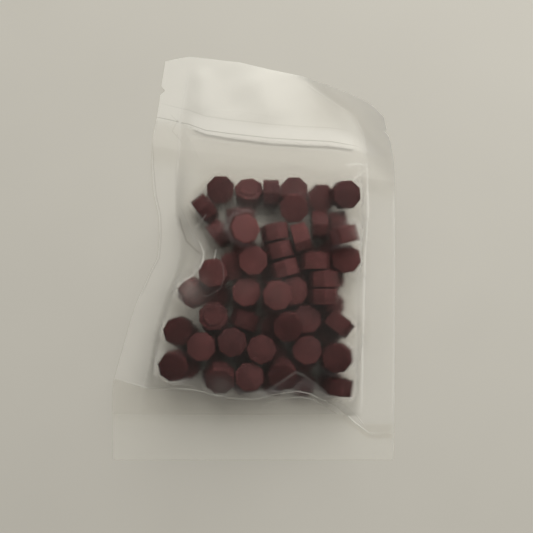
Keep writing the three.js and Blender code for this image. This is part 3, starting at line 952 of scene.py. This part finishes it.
def new_group(name: str, inputs: dict[str, float], outputs: Sequence[str]) -> bpy.types.NodeTree:
    """An empty shader node group with float inputs and outputs, and Vector as its first input.

    Args:
        name: the group's name.
        inputs: its float inputs and their values.
        outputs: its float outputs.

    Returns:
        The group's tree.
    """
    tree = bpy.data.node_groups.new(name, "ShaderNodeTree")
    tree.interface.new_socket("Vector", in_out="INPUT", socket_type="NodeSocketVector")
    for key, value in inputs.items():
        socket = tree.interface.new_socket(key, in_out="INPUT", socket_type="NodeSocketFloat")
        socket.default_value = value
    for key in outputs:
        tree.interface.new_socket(key, in_out="OUTPUT", socket_type="NodeSocketFloat")
    return tree


def grain_group() -> bpy.types.NodeTree:
    """Grain: fine noise and slow mottling, each from 0 to 1.

    Returns:
        The group's tree.
    """
    tree = new_group("grain", {"Fine Scale": 900.0, "Slow Scale": 60.0}, ["Fine", "Slow"])
    start, end = tree.nodes.new("NodeGroupInput"), tree.nodes.new("NodeGroupOutput")
    for kind, detail in (("Fine", 3.0), ("Slow", 2.0)):
        noise = tree.nodes.new("ShaderNodeTexNoise")
        noise.inputs["Detail"].default_value = detail
        tree.links.new(start.outputs["Vector"], noise.inputs["Vector"])
        tree.links.new(start.outputs[f"{kind} Scale"], noise.inputs["Scale"])
        tree.links.new(noise.outputs["Fac"], end.inputs[kind])
    return tree


def fold_group() -> bpy.types.NodeTree:
    """The thin lines of a sheet, from their distances in widths and their strengths: a painted highlight,
    painted shade and the lines' relief.

    Returns:
        The group's tree.
    """
    tree = new_group("fold lines", {}, ["Highlight", "Shade", "Height"])
    tree.interface.new_socket("Strength", in_out="INPUT", socket_type="NodeSocketVector")
    start, end = tree.nodes.new("NodeGroupInput"), tree.nodes.new("NodeGroupOutput")

    def step(operation: str, first: bpy.types.NodeSocket, second: object) -> bpy.types.Node:
        """A vector operation on a socket and another socket or a plain value.

        Args:
            operation: its name.
            first: a socket.
            second: a socket, a vector, or None for no second.

        Returns:
            The operation's node.
        """
        node = tree.nodes.new("ShaderNodeVectorMath")
        node.operation = operation
        tree.links.new(first, node.inputs[0])
        if isinstance(second, tuple):
            node.inputs[1].default_value = second
        elif second is not None:
            tree.links.new(second, node.inputs[1])
        return node

    away = step("ABSOLUTE", start.outputs["Vector"], None)
    profile = tree.nodes.new("ShaderNodeMapRange")
    profile.data_type = "FLOAT_VECTOR"
    profile.interpolation_type = "SMOOTHSTEP"
    limits = {"From_Min_FLOAT3": 0.0, "From_Max_FLOAT3": 1.0, "To_Min_FLOAT3": 1.0, "To_Max_FLOAT3": 0.0}
    for socket in profile.inputs:
        if socket.identifier in limits:
            socket.default_value = (limits[socket.identifier],) * 3
        if socket.identifier == "Vector":
            tree.links.new(away.outputs["Vector"], socket)
    shown = step("MULTIPLY", profile.outputs["Vector"], start.outputs["Strength"])
    pale = step("MAXIMUM", shown.outputs["Vector"], (0.0, 0.0, 0.0))
    dark = step("MINIMUM", shown.outputs["Vector"], (0.0, 0.0, 0.0))
    for key, source, sign in (("Highlight", pale, 1.0), ("Shade", dark, -1.0), ("Height", shown, 1.0)):
        total = step("DOT_PRODUCT", source.outputs["Vector"], (sign, sign, sign))
        tree.links.new(total.outputs["Value"], end.inputs[key])
    return tree


@dataclass(frozen=True)
class FilmFinish:
    """Frosted plastic film: it blurs what lies behind it, the more the further off that is."""

    name: str
    tint: tuple[float, float, float] = (0.995, 0.992, 0.985)
    clearness: float = 1.0
    roughness: float = 0.50
    roughness_spread: float = 0.06
    gloss: float = 0.3
    sheen: float = 0.3
    shade: tuple[float, float, float] = (0.985, 0.98, 0.975)
    haze_least: float = 0.01
    haze_most: float = 0.35
    haze_colour: tuple[float, float, float] = (0.62, 0.60, 0.54)
    # Colours of the painted highlights and the painted shade along the film's lines, and how much of the film
    # they cover.
    highlight_line: tuple[float, float, float] = (0.72, 0.70, 0.64)
    shade_line: tuple[float, float, float] = (0.20, 0.18, 0.15)
    ior: float = 1.09
    sheen_roughness: float = 0.2
    sheen_tint: tuple[float, float, float] = (0.92, 0.90, 0.84)
    grain_scales: tuple[float, float] = (2500.0, 170.0)
    painted_line_share: float = 0.6
    line_height: float = 0.10 * MM
    grain_height: float = 0.004 * MM
    ripple_height: float = 0.03 * MM

    def material(self, grain: bpy.types.NodeTree, folds: bpy.types.NodeTree) -> bpy.types.Material:
        """The finish as a material.

        Args:
            grain: the shared grain group.
            folds: the shared group of thin lines.

        Returns:
            The material.
        """
        made = Nodes(self.name)
        place = made.add("ShaderNodeTexCoord").outputs["Object"]
        noise = made.grain(grain, place, self.grain_scales)
        lines = made.group(folds, Vector=made.attribute("line_away", "Vector"),
                           Strength=made.attribute("line_strength", "Vector")).outputs
        ripple = made.bump(noise["Slow"], self.ripple_height)
        crest = made.bump(lines["Height"], self.line_height, Normal=ripple)
        frost = made.bump(noise["Fine"], self.grain_height, Normal=crest)
        film = made.add(
            "ShaderNodeBsdfPrincipled",
            Base_Color=(*self.tint, 1), IOR=self.ior, Transmission_Weight=self.clearness,
            Specular_Tint=(self.gloss, self.gloss, self.gloss, 1),
            Sheen_Weight=self.sheen, Sheen_Roughness=self.sheen_roughness, Sheen_Tint=(*self.sheen_tint, 1),
            Roughness=made.ranged(noise["Slow"], self.roughness, self.roughness + self.roughness_spread),
            Normal=frost,
        )
        haze = made.add("ShaderNodeBsdfDiffuse", Color=(*self.haze_colour, 1), Normal=crest)
        share = made.ranged(made.attribute("haze", "Fac"), self.haze_least, self.haze_most)
        hazy = made.shaders(share, film.outputs[0], haze.outputs[0])
        # Painted highlights and painted shade along the lines: a pale or a dark diffuse colour mixed over the
        # film.
        painted_line_cover = made.maths("MULTIPLY", made.maths("ADD", lines["Highlight"], lines["Shade"]), self.painted_line_share, True)
        is_shade = made.maths("GREATER_THAN", lines["Shade"], lines["Highlight"])
        tone = made.between(is_shade, (*self.highlight_line, 1), (*self.shade_line, 1), "RGBA")
        line = made.add("ShaderNodeBsdfDiffuse", Color=tone, Normal=crest)
        drawn = made.shaders(painted_line_cover, hazy, line.outputs[0])
        ray = made.add("ShaderNodeLightPath").outputs
        passed = made.add("ShaderNodeBsdfTransparent", Color=(*self.shade, 1)).outputs[0]
        bounced = made.shaders(ray["Is Diffuse Ray"], drawn, passed)
        return made.finished(made.shaders(ray["Is Shadow Ray"], bounced, passed))


@dataclass(frozen=True)
class WaxFinish:
    """Burgundy sealing wax, poured in layers and lightly dusted."""

    name: str = "burgundy wax"
    deep: tuple[float, float, float] = (0.030, 0.006, 0.006)
    bright: tuple[float, float, float] = (0.122, 0.037, 0.035)
    roughness: float = 0.55
    roughness_spread: float = 0.14
    strata: float = 0.35
    strata_scale: float = 1300.0
    strata_stretch: tuple[float, float, float] = (0.12, 0.12, 1.0)
    grain_scales: tuple[float, float] = (1400.0, 220.0)
    ior: float = 1.44
    specular: float = 0.1
    relief: float = 0.05 * MM
    relief_strength: float = 0.5

    def material(self, grain: bpy.types.NodeTree) -> bpy.types.Material:
        """The finish as a material.

        Args:
            grain: the shared grain group.

        Returns:
            The material.
        """
        made = Nodes(self.name)
        place = made.attribute("bead_place", "Vector")
        noise = made.grain(grain, place, self.grain_scales)
        flat = made.add("ShaderNodeMapping", Vector=place, Scale=self.strata_stretch).outputs["Vector"]
        layers = made.add("ShaderNodeTexNoise", Vector=flat, Scale=self.strata_scale, Detail=3.0)
        share = made.between(self.strata, noise["Slow"], layers.outputs["Fac"], "FLOAT")
        # The tone attribute holds each bead's random tone and the painted shade towards the pouch's bottom
        # and top.
        total = made.maths("ADD", share, made.attribute("tone", "Fac"))
        wax = made.add(
            "ShaderNodeBsdfPrincipled",
            Base_Color=made.between(total, (*self.deep, 1), (*self.bright, 1), "RGBA"),
            Roughness=made.ranged(noise["Slow"], self.roughness, self.roughness + self.roughness_spread),
            IOR=self.ior, Specular_IOR_Level=self.specular,
            Normal=made.bump(noise["Fine"], self.relief, self.relief_strength),
        )
        return made.finished(wax.outputs[0])


@dataclass(frozen=True)
class TableFinish:
    """A pale painted table top."""

    name: str = "pale table"
    colour: tuple[float, float, float] = (0.533, 0.509, 0.445)
    mottling: float = 0.03
    grain_scales: tuple[float, float] = (1500.0, 25.0)
    roughness: float = 0.6
    specular: float = 0.2

    def material(self, grain: bpy.types.NodeTree) -> bpy.types.Material:
        """The finish as a material.

        Args:
            grain: the shared grain group.

        Returns:
            The material.
        """
        made = Nodes(self.name)
        place = made.add("ShaderNodeTexCoord").outputs["Object"]
        noise = made.grain(grain, place, self.grain_scales)
        tones = (1 - self.mottling, 1 + self.mottling)
        dark, pale = [(*[c * tone for c in self.colour], 1) for tone in tones]
        top = made.add(
            "ShaderNodeBsdfPrincipled",
            Base_Color=made.between(noise["Slow"], dark, pale, "RGBA"),
            Roughness=self.roughness, Specular_IOR_Level=self.specular,
        )
        return made.finished(top.outputs[0])


@dataclass
class Finishes:
    """Every material, made once."""

    grain: bpy.types.NodeTree = field(default_factory=grain_group)
    folds: bpy.types.NodeTree = field(default_factory=fold_group)
    front: bpy.types.Material = field(init=False)
    lip: bpy.types.Material = field(init=False)
    back: bpy.types.Material = field(init=False)
    weld: bpy.types.Material = field(init=False)
    zip: bpy.types.Material = field(init=False)
    wax: bpy.types.Material = field(init=False)
    table: bpy.types.Material = field(init=False)

    def __post_init__(self) -> None:
        """Makes the materials."""
        shared = (self.grain, self.folds)
        thin = {"haze_most": 0.2, "shade": (0.99, 0.99, 0.985)}
        lip = {"haze_most": 0.5, "haze_colour": (0.70, 0.68, 0.61)}
        self.front = FilmFinish("frosted front film", shade=(0.955, 0.95, 0.94)).material(*shared)
        self.lip = FilmFinish("frosted lip film", **lip).material(*shared)
        self.back = FilmFinish("frosted back film", **thin).material(*shared)
        self.weld = FilmFinish("welded film", **thin).material(*shared)
        self.zip = FilmFinish("zip plastic", haze_least=0.75).material(*shared)
        self.wax = WaxFinish().material(self.grain)
        self.table = TableFinish().material(self.grain)


def dress(piece: bpy.types.Object, material: bpy.types.Material) -> bpy.types.Object:
    """Gives a piece its material.

    Args:
        piece: the piece.
        material: its material, all over.

    Returns:
        The piece.
    """
    piece.data.materials.clear()
    piece.data.materials.append(material)
    return piece


@dataclass
class Beads:
    """The sealing-wax beads: octagonal, with rounded edges and a low round boss on one face."""

    cad: Cad
    finishes: Finishes
    flats: float = 8.4 * MM
    thickness: float = 4.8 * MM
    boss_diameter: float = 6.0 * MM
    boss_height: float = 0.4 * MM
    boss_steps: tuple[tuple[float, float], ...] = ((0.6, 0.985), (0.4, 0.93))
    dish_rim: float = 1.1 * MM
    dish_depth: float = 0.05 * MM
    top_least: float = 20 * MM * MM
    edge_round: float = 0.16 * MM
    column_pitch: float = 8.2 * MM
    column_bead: float = 0.965
    column_slack: float = 0.1 * MM
    column_turn: float = 0.05
    flat_slack: float = 0.01 * MM
    tone_spread: float = 0.14
    # Painted shade: the beads darker towards the bottom of the pouch and towards its top.
    bottom_shade: float = 0.42
    top_shade: float = 0.28
    bottom_shade_from: float = 8 * MM
    bottom_shade_over: float = 12 * MM
    top_shade_from: float = 6 * MM
    top_shade_over: float = 10 * MM
    place_spread: float = 0.05
    model: bpy.types.Object | None = field(default=None, init=False)
    laid: int = field(default=0, init=False)

    def shape_model(self) -> None:
        """Models one bead, standing on its flat face at the origin, with its boss up."""
        deselect()
        radius = self.flats / 2 / math.cos(math.pi / 8)
        bpy.ops.mesh.primitive_cylinder_add(
            vertices=8, radius=radius, depth=self.thickness,
            location=(0, 0, self.thickness / 2), rotation=(0, 0, math.pi / 8))
        bead = bpy.context.object
        bead.name = "bead_model"
        bpy.ops.object.transform_apply(location=True, rotation=True, scale=True)
        bpy.ops.object.mode_set(mode="EDIT")
        bpy.ops.mesh.select_mode(type="EDGE")
        bpy.ops.mesh.select_all(action="SELECT")
        bpy.ops.mesh.bevel(offset=self.edge_round, segments=3, affect="EDGES")
        self._select(bead, "FACE", lambda f: f.normal.z > 0.99 and f.calc_area() > self.top_least)
        bpy.ops.mesh.delete(type="ONLY_FACE")
        bpy.ops.mesh.select_all(action="DESELECT")
        bpy.ops.mesh.primitive_circle_add(
            vertices=24, radius=self.boss_diameter / 2, location=(0, 0, self.thickness))
        self._select(bead, "EDGE", lambda e: e.is_boundary or e.is_wire)
        bpy.ops.mesh.bridge_edge_loops()
        self._select(bead, "EDGE", lambda e: e.is_boundary)
        for part, narrowing in self.boss_steps:
            rise = self.boss_height * part
            bpy.ops.mesh.extrude_region_move(TRANSFORM_OT_translate={"value": (0, 0, rise)})
            bpy.ops.transform.resize(value=(narrowing, narrowing, 1), center_override=(0, 0, 0))
        bpy.ops.mesh.edge_face_add()
        bpy.ops.mesh.inset(thickness=self.dish_rim, depth=-self.dish_depth)
        bpy.ops.mesh.select_all(action="SELECT")
        bpy.ops.mesh.normals_make_consistent(inside=False)
        bpy.ops.object.mode_set(mode="OBJECT")
        bpy.ops.object.shade_smooth_by_angle(angle=math.radians(35))
        self.model = bead

    def _select(self, bead: bpy.types.Object, kind: str, wanted: Callable[[object], bool]) -> None:
        """Selects just the faces (kind FACE) or edges (kind EDGE) that a test picks.

        Args:
            bead: the bead, in edit mode.
            kind: FACE or EDGE.
            wanted: the test.
        """
        bpy.ops.mesh.select_mode(type=kind)
        bpy.ops.mesh.select_all(action="DESELECT")
        shell = bmesh.from_edit_mesh(bead.data)
        for item in shell.faces if kind == "FACE" else shell.edges:
            if wanted(item):
                item.select_set(True)
        bmesh.update_edit_mesh(bead.data)

    def seat(self, node: str) -> Matrix:
        """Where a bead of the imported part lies.

        Args:
            node: its name.

        Returns:
            The move from the model bead's place to its own.
        """
        mesh = self.cad.nodes[node].data
        sums: dict[tuple[int, ...], Vector] = {}
        for face in mesh.polygons:
            key = tuple(round(c * 50) for c in face.normal)
            sums[key] = sums.get(key, Vector()) + face.normal * face.area
        wide = sorted(sums.values(), key=lambda n: -n.length)
        axis = wide[0].normalized()
        corners = np.array([v.co for v in mesh.vertices])
        along = corners @ np.array(axis)
        upper, lower = along.max() - self.flat_slack, along.min() + self.flat_slack
        ends = [corners[along > upper], corners[along < lower]]
        reach = [np.linalg.norm(e - (e.min(0) + e.max(0)) / 2, axis=1).max() for e in ends]
        foot, up = (ends[0], -axis) if reach[0] > reach[1] else (ends[1], axis)
        middle = Vector((foot.min(0) + foot.max(0)) / 2)
        flat = next(n.normalized() for n in wide if abs(n.normalized().dot(axis)) < 0.05)
        flat = (flat - up * flat.dot(up)).normalized()
        turn = Matrix((flat, up.cross(flat), up)).transposed()
        return Matrix.Translation(middle) @ turn.to_4x4()

    def copy(self, name: str, place: Matrix, chance: np.random.Generator) -> bpy.types.Object:
        """One bead at a place.

        Args:
            name: the piece's name.
            place: its place, from the model's.
            chance: for its tone.

        Returns:
            The bead.
        """
        bead = bpy.data.objects.new(name, self.model.data.copy())
        bpy.context.scene.collection.objects.link(bead)
        corners = np.array([v.co for v in bead.data.vertices])
        own = corners + chance.uniform(-self.place_spread, self.place_spread, 3)
        write_points(bead.data, "bead_place", own)
        # Each bead's tone: random from bead to bead, less the painted shade towards the bottom and the top of
        # the pouch.
        lower = float(smooth_step((-place.translation.y - self.bottom_shade_from) / self.bottom_shade_over))
        upper = float(smooth_step((place.translation.y - self.top_shade_from) / self.top_shade_over))
        tone_and_shade = chance.uniform(-self.tone_spread, self.tone_spread)
        tone_and_shade = tone_and_shade - self.bottom_shade * lower - self.top_shade * upper
        write_points(bead.data, "tone", np.full(len(corners), tone_and_shade))
        bead.data.transform(place)
        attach(bead, Body.POUCH.value)
        self.laid += 1
        return dress(bead, self.finishes.wax)

    def build(self) -> None:
        """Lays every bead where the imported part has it."""
        self.shape_model()
        chance = np.random.default_rng(7)
        for node in self.cad.beads():
            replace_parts(self.copy(node.replace("bead", "wax_bead"), self.seat(node), chance), node)
        for node in self.cad.bead_columns():
            low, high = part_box(node)
            count = round((high.y - low.y - 2 * self.column_slack) / self.column_pitch)
            across = np.full(count, (low.x + high.x) / 2)
            along = low.y + self.column_slack + (np.arange(count) + 0.5) * self.column_pitch
            second = self.cad.tops([node], across, along) > low.z + 1.5 * self.thickness
            for k, storey in [(k, n) for k in range(count) for n in range(2 if second[k] else 1)]:
                place = Vector((across[k], along[k], low.z + storey * self.thickness))
                angle = chance.uniform(-self.column_turn, self.column_turn)
                turn = Matrix.Rotation(angle, 4, "Z") @ Matrix.Scale(self.column_bead, 4)
                flip = Matrix.Identity(4)
                if chance.random() < 0.5:
                    flip = Matrix.Translation((0, 0, self.thickness)) @ Matrix.Rotation(math.pi, 4, "X")
                name = f"{node}_{k + 1}" if storey == 0 else f"{node}_{k + 1}_upper"
                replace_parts(self.copy(name, Matrix.Translation(place) @ turn @ flip, chance), node)
        bpy.data.objects.remove(self.model)
        self.model = None
        log.info("beads: %d", self.laid)


def level_line(value: float) -> Line:
    """A straight line at one place."""
    return lambda where: np.full(np.shape(where), value)


def middle_line(left: Line, right: Line) -> Line:
    """The line half way between two."""
    return lambda where: (left(where) + right(where)) / 2


def fold_with_margin(piece: bpy.types.Object) -> bpy.types.Object:
    """Bakes a piece's place into its mesh.

    Args:
        piece: a sheet, with no parent.

    Returns:
        The piece.
    """
    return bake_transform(piece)


@dataclass
class BackFilm:
    """The pouch's back, flat on the table: its top right corner rolls up, its bottom margin can fold."""

    finishes: Finishes
    curl: Curl
    thickness: float = 0.15 * MM
    haze_share: float = 0.5
    grid: float = 1.0 * MM
    round_off: float = 0.6 * MM
    round_reach: float = 2.5 * MM
    weld_gap: float = 0.02 * MM
    weld_thickness: float = 0.12 * MM
    weld_haze: float = 0.8
    weld_fade: float = 5 * MM

    def build(self) -> None:
        """Makes the back film and the gusset's back half, welded to its bottom margin."""
        low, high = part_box("base_skirt")
        whole = Patch(EDGES.left, EDGES.right, level_line(low.y), EDGES.mouth, self.grid)
        x, y = whole.places()
        round_off = self.round_off * np.clip(1 - (y - low.y) / self.round_reach, 0, 1) ** 2
        x = np.where(x > 0, x - round_off, x + round_off)
        z = self.curl.heights(x, y)
        back = film_sheet("back_sheet", x, y, z, self.thickness, self.curl.haze(x, y) * self.haze_share)
        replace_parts(back, "back_film", "base_skirt")
        fold_with_margin(back)
        dress(back, self.finishes.back)
        ends = (level_line(low.y + 0.1 * MM), level_line(high.y - 0.3 * MM))
        x, y = Patch(EDGES.left, EDGES.right, *ends, self.grid).places()
        z = np.full(x.shape, self.thickness + self.weld_gap)
        haze = self.weld_haze * smooth_step((high.y - y) / self.weld_fade)
        weld = film_sheet("margin_weld", x, y, z, self.weld_thickness, haze)
        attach(weld, Body.SKIRT.value)
        dress(weld, self.finishes.back)
        log.info("back: built")


@dataclass
class SideSeals:
    """The welded margins down both sides, each pressed a little thinner than the film beside it."""

    finishes: Finishes
    curl: Curl
    foot: float = 0.20 * MM
    thickness: float = 0.14 * MM
    inset: float = 0.15 * MM
    grid: float = 0.8 * MM

    def build(self) -> None:
        """Makes both seals."""
        left_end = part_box("back_film")[0].y
        right_end = VIEW.place(SEAL_END).y
        left = Patch(lambda y: EDGES.left(y) + self.inset, EDGES.left_inner, level_line(left_end),
                     lambda x: EDGES.mouth(x) - self.inset, self.grid)
        right = Patch(EDGES.right_inner, lambda y: EDGES.right(y) - self.inset, level_line(right_end),
                      lambda x: EDGES.mouth(x) - self.inset, self.grid)
        for name, patch in (("side_seal_left", left), ("side_seal_right", right)):
            x, y = patch.places()
            z = self.foot + self.curl.heights(x, y)
            seal = film_sheet(f"{name}_weld", x, y, z, self.thickness, self.curl.haze(x, y))
            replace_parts(seal, name)
            fold_with_margin(seal)
            dress(seal, self.finishes.weld)
        log.info("side seals: built")


@dataclass
class FrontFilm:
    """The front: the film over the pile, the lip above the hinge line, and the gusset's front half."""

    cad: Cad
    finishes: Finishes
    skin: Skin
    curl: Curl
    thickness: float = 0.15 * MM
    hem: float = 1.2 * MM
    lip_fade: float = 9 * MM
    lip_least: float = 0.6
    gusset_share: float = 0.2
    seal_clearness: float = 0.75
    seal_fade: float = 1.0 * MM
    left_blend: float = -20 * MM
    right_blend: float = 30 * MM
    middle_blend: float = 6 * MM
    corner_round: float = 2.6 * MM
    corner_reach: float = 4 * MM

    def lip_share(self, x: np.ndarray, y: np.ndarray) -> np.ndarray:
        """The share of its haze that the lip shows: no more than the front does where the two meet."""
        return self.lip_least + (1 - self.lip_least) * smooth_step((y - self.cad.hinge()(x)) / self.lip_fade)

    def sheet(self, name: str, patch: Patch, rests_on: Sequence[str], share: Shape) -> bpy.types.Object:
        """A stretch of the front film, over what lies under it.

        Args:
            name: the piece's name.
            patch: its plan.
            rests_on: what carries it; not used.
            share: how much of the film's haze it shows at places in plan.

        Returns:
            The piece.
        """
        x, y = patch.places()
        z = self.skin.heights(x, y) + self.curl.heights(x, y)
        below_seal = smooth_step((VIEW.place(SEAL_END).y - y) / self.seal_fade)
        film = self.skin.haze(x, y) * self.curl.haze(x, y) * share(x, y)
        haze = film * (1 - self.seal_clearness * below_seal)
        piece = film_sheet(name, x, y, z, self.thickness, haze, PAINTED_FOLD_LINES)
        return piece

    def build(self) -> None:
        """Makes the front's sheets."""
        hinge = self.cad.hinge()
        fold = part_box("back_film")[0].y
        main = self.sheet("front_sheet", Patch(EDGES.left, self.rounded_right, EDGES.front_bottom, hinge),
                          self.cad.highest_beads(6), lambda x, y: np.ones(x.shape))
        fold_with_margin(main)
        dress(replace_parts(main, "front_film"), self.finishes.front)

        def foot(where: np.ndarray) -> np.ndarray:
            """The gusset's lower end: its fold, or below the front's edge where that hangs past it."""
            return np.minimum(fold, EDGES.front_bottom(where) - self.hem)

        gusset = self.sheet("gusset_sheet", Patch(EDGES.left, EDGES.right, foot, EDGES.front_bottom),
                            ["back_sheet"], lambda x, y: np.full(x.shape, self.gusset_share))
        fold_with_margin(gusset)
        dress(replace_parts(gusset, "gusset_film"), self.finishes.front)
        middle = middle_line(EDGES.left_inner, EDGES.right_inner)
        halves = {
            "lip_sheet_left": (Patch(EDGES.left, middle, hinge, EDGES.mouth), -1),
            "lip_sheet_right": (Patch(middle, EDGES.right, hinge, EDGES.mouth), 1),
        }
        for name, (patch, side) in halves.items():
            lip = self.sheet(name, patch, ["back_sheet"], self.lip_share)
            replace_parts(lip, "front_lip")
            self.bow(lip, side)
            dress(lip, self.finishes.lip)
        log.info("front: built")

    def rounded_right(self, y: np.ndarray) -> np.ndarray:
        """The right edge, drawn in where the front's loose lower corner is rounded."""
        corner = VIEW.place((390, 437), 3 * MM).y
        return EDGES.right(y) - self.corner_round * np.clip(1 - (y - corner) / self.corner_reach, 0, 1.2) ** 2

    def bow(self, piece: bpy.types.Object, side: int) -> None:
        """Bakes the place of a half of the lip into its mesh.

        Args:
            piece: the half.
            side: -1 for the left half, 1 for the right one; not used.
        """
        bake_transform(piece)


@dataclass
class Zip:
    """The press-to-close zip: a grooved channel on the back film, and a rib in two halves."""

    finishes: Finishes
    front: FrontFilm
    tape_width: float = 5.2 * MM
    tape_below: float = 0.9 * MM
    tape_thickness: float = 0.12 * MM
    rib_width: float = 1.3 * MM
    wall: float = 0.35 * MM
    seat: float = 0.15 * MM
    crown: float = 0.5 * MM
    foot: float = 0.3 * MM
    stations: int = 60

    def strip(self, name: str, ends: tuple[float, float],
              profile: Sequence[tuple[float, float]]) -> bpy.types.Object:
        """A strip of one closed profile along the zip's line.

        Args:
            name: the piece's name.
            ends: where it starts and stops, across the pouch.
            profile: its outline, as places along the pouch from the line and heights over its foot.

        Returns:
            The strip.
        """
        deselect()
        bpy.ops.mesh.primitive_circle_add(vertices=len(profile), radius=1 * MM, fill_type="NGON")
        piece = bpy.context.object
        piece.name = name
        stations = np.linspace(ends[0], ends[1], self.stations + 1)
        bpy.ops.object.mode_set(mode="EDIT")
        for length in np.diff(stations):
            bpy.ops.mesh.extrude_region_move(TRANSFORM_OT_translate={"value": (length, 0, 0)})
        bpy.ops.object.mode_set(mode="OBJECT")
        line = EDGES.zip_line(stations)
        count = len(profile)
        for index, vertex in enumerate(piece.data.vertices):
            station, corner = index // count, index % count
            along, rise = profile[corner]
            vertex.co = (stations[station], line[station] + along, self.foot + rise)
        bpy.ops.object.mode_set(mode="EDIT")
        bpy.ops.mesh.select_all(action="SELECT")
        bpy.ops.mesh.normals_make_consistent(inside=False)
        bpy.ops.object.mode_set(mode="OBJECT")
        bpy.ops.object.shade_smooth_by_angle(angle=math.radians(40))
        return piece

    def build(self) -> None:
        """Makes the channel, and the rib in two halves."""
        low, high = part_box("zip_channel")
        half, thick, wall = self.rib_width / 2, self.tape_thickness, self.wall
        top, bottom = self.tape_width - self.tape_below, -self.tape_below
        grooved = [
            (top, 0), (top, thick), (half * 1.5, thick), (half * 1.3, wall), (half * 0.8, wall),
            (half * 0.7, self.seat), (-half * 0.7, self.seat), (-half * 0.8, wall), (-half * 1.3, wall),
            (-half * 1.5, thick), (bottom, thick), (bottom, 0),
        ]
        ribbed = [
            (bottom, wall), (half * 1.2, wall), (top * 0.8, wall), (top * 0.8, wall + thick),
            (half * 1.2, wall + thick), (half * 0.9, self.crown), (-half * 0.9, self.crown),
            (bottom, wall + thick),
        ]
        channel = self.strip("channel_strip", (low.x, high.x), grooved)
        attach(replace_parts(channel, "zip_channel"), Body.POUCH.value)
        dress(channel, self.finishes.zip)
        middle = (low.x + high.x) / 2
        for name, span, side in (("rib_left", (low.x, middle), -1), ("rib_right", (middle, high.x), 1)):
            rib = self.strip(name, span, ribbed)
            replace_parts(rib, "zip_rib")
            self.front.bow(rib, side)
            dress(rib, self.finishes.zip)
        log.info("zip: built")


@dataclass
class Studio:
    """The table, soft light from the mouth's side, and the camera straight above."""

    finishes: Finishes
    sky: float = 0.27
    sky_colour: tuple[float, float, float] = (1.0, 0.985, 0.96)
    lamp_watts: float = 12.2
    lamp_size: float = 1.1
    lamp_place: tuple[float, float, float] = (0.30, 0.60, 0.56)
    table_side: float = 4.0
    table_gap: float = 0.02 * MM

    def build(self) -> None:
        """Sets the stage."""
        deselect()
        bpy.ops.mesh.primitive_plane_add(size=self.table_side, location=(0, 0, 0))
        table = bpy.context.object
        table.name = "table"
        bpy.ops.object.mode_set(mode="EDIT")
        bpy.ops.mesh.select_all(action="SELECT")
        bpy.ops.mesh.subdivide(number_cuts=9)
        bpy.ops.transform.translate(value=(0, 0, -self.table_gap))
        bpy.ops.object.mode_set(mode="OBJECT")
        table.data.materials.append(self.finishes.table)
        lamp_data = bpy.data.lights.new("soft_lamp", "AREA")
        lamp_data.energy = self.lamp_watts
        lamp_data.size = self.lamp_size
        lamp = bpy.data.objects.new("soft_lamp", lamp_data)
        lamp.location = self.lamp_place
        lamp.rotation_euler = (-Vector(self.lamp_place)).to_track_quat("-Z", "Y").to_euler()
        bpy.context.scene.collection.objects.link(lamp)
        world = bpy.data.worlds.new("studio")
        world.use_nodes = True
        sky = world.node_tree.nodes["Background"]
        sky.inputs["Color"].default_value = (*self.sky_colour, 1)
        sky.inputs["Strength"].default_value = self.sky
        bpy.context.scene.world = world
        bpy.context.scene.view_settings.view_transform = "Standard"
        log.info("stage: table, lamp, sky")

    def camera(self) -> None:
        """The camera, where the photograph was taken from."""
        data = bpy.data.cameras.new("camera")
        data.sensor_width = 36
        data.lens = data.sensor_width / 2 / math.tan(VIEW.field_of_view() / 2)
        data.clip_start, data.clip_end = 0.01, 10
        eye = bpy.data.objects.new("camera", data)
        eye.location = (VIEW.aim_x, VIEW.aim_y, VIEW.height)
        bpy.context.scene.collection.objects.link(eye)
        bpy.context.scene.camera = eye


def corners(box: tuple[Vector, Vector]) -> list[list[float]]:
    """A box's corners as plain numbers."""
    return [[round(c, 6) for c in corner] for corner in box]


def main() -> None:
    """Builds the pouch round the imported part."""
    logging.basicConfig(level=logging.INFO, format="%(name)s %(message)s")
    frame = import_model()
    cad = Cad(frame["nodes"], frame["joints"])
    finishes = Finishes()
    studio = Studio(finishes)
    studio.camera()
    studio.build()
    curl = Curl()
    skin = Skin(cad).drape()
    Beads(cad, finishes).build()
    BackFilm(finishes, curl).build()
    SideSeals(finishes, curl).build()
    front = FrontFilm(cad, finishes, skin, curl)
    front.build()
    Zip(finishes, front).build()
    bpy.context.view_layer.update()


if __name__ == "__main__":
    main()
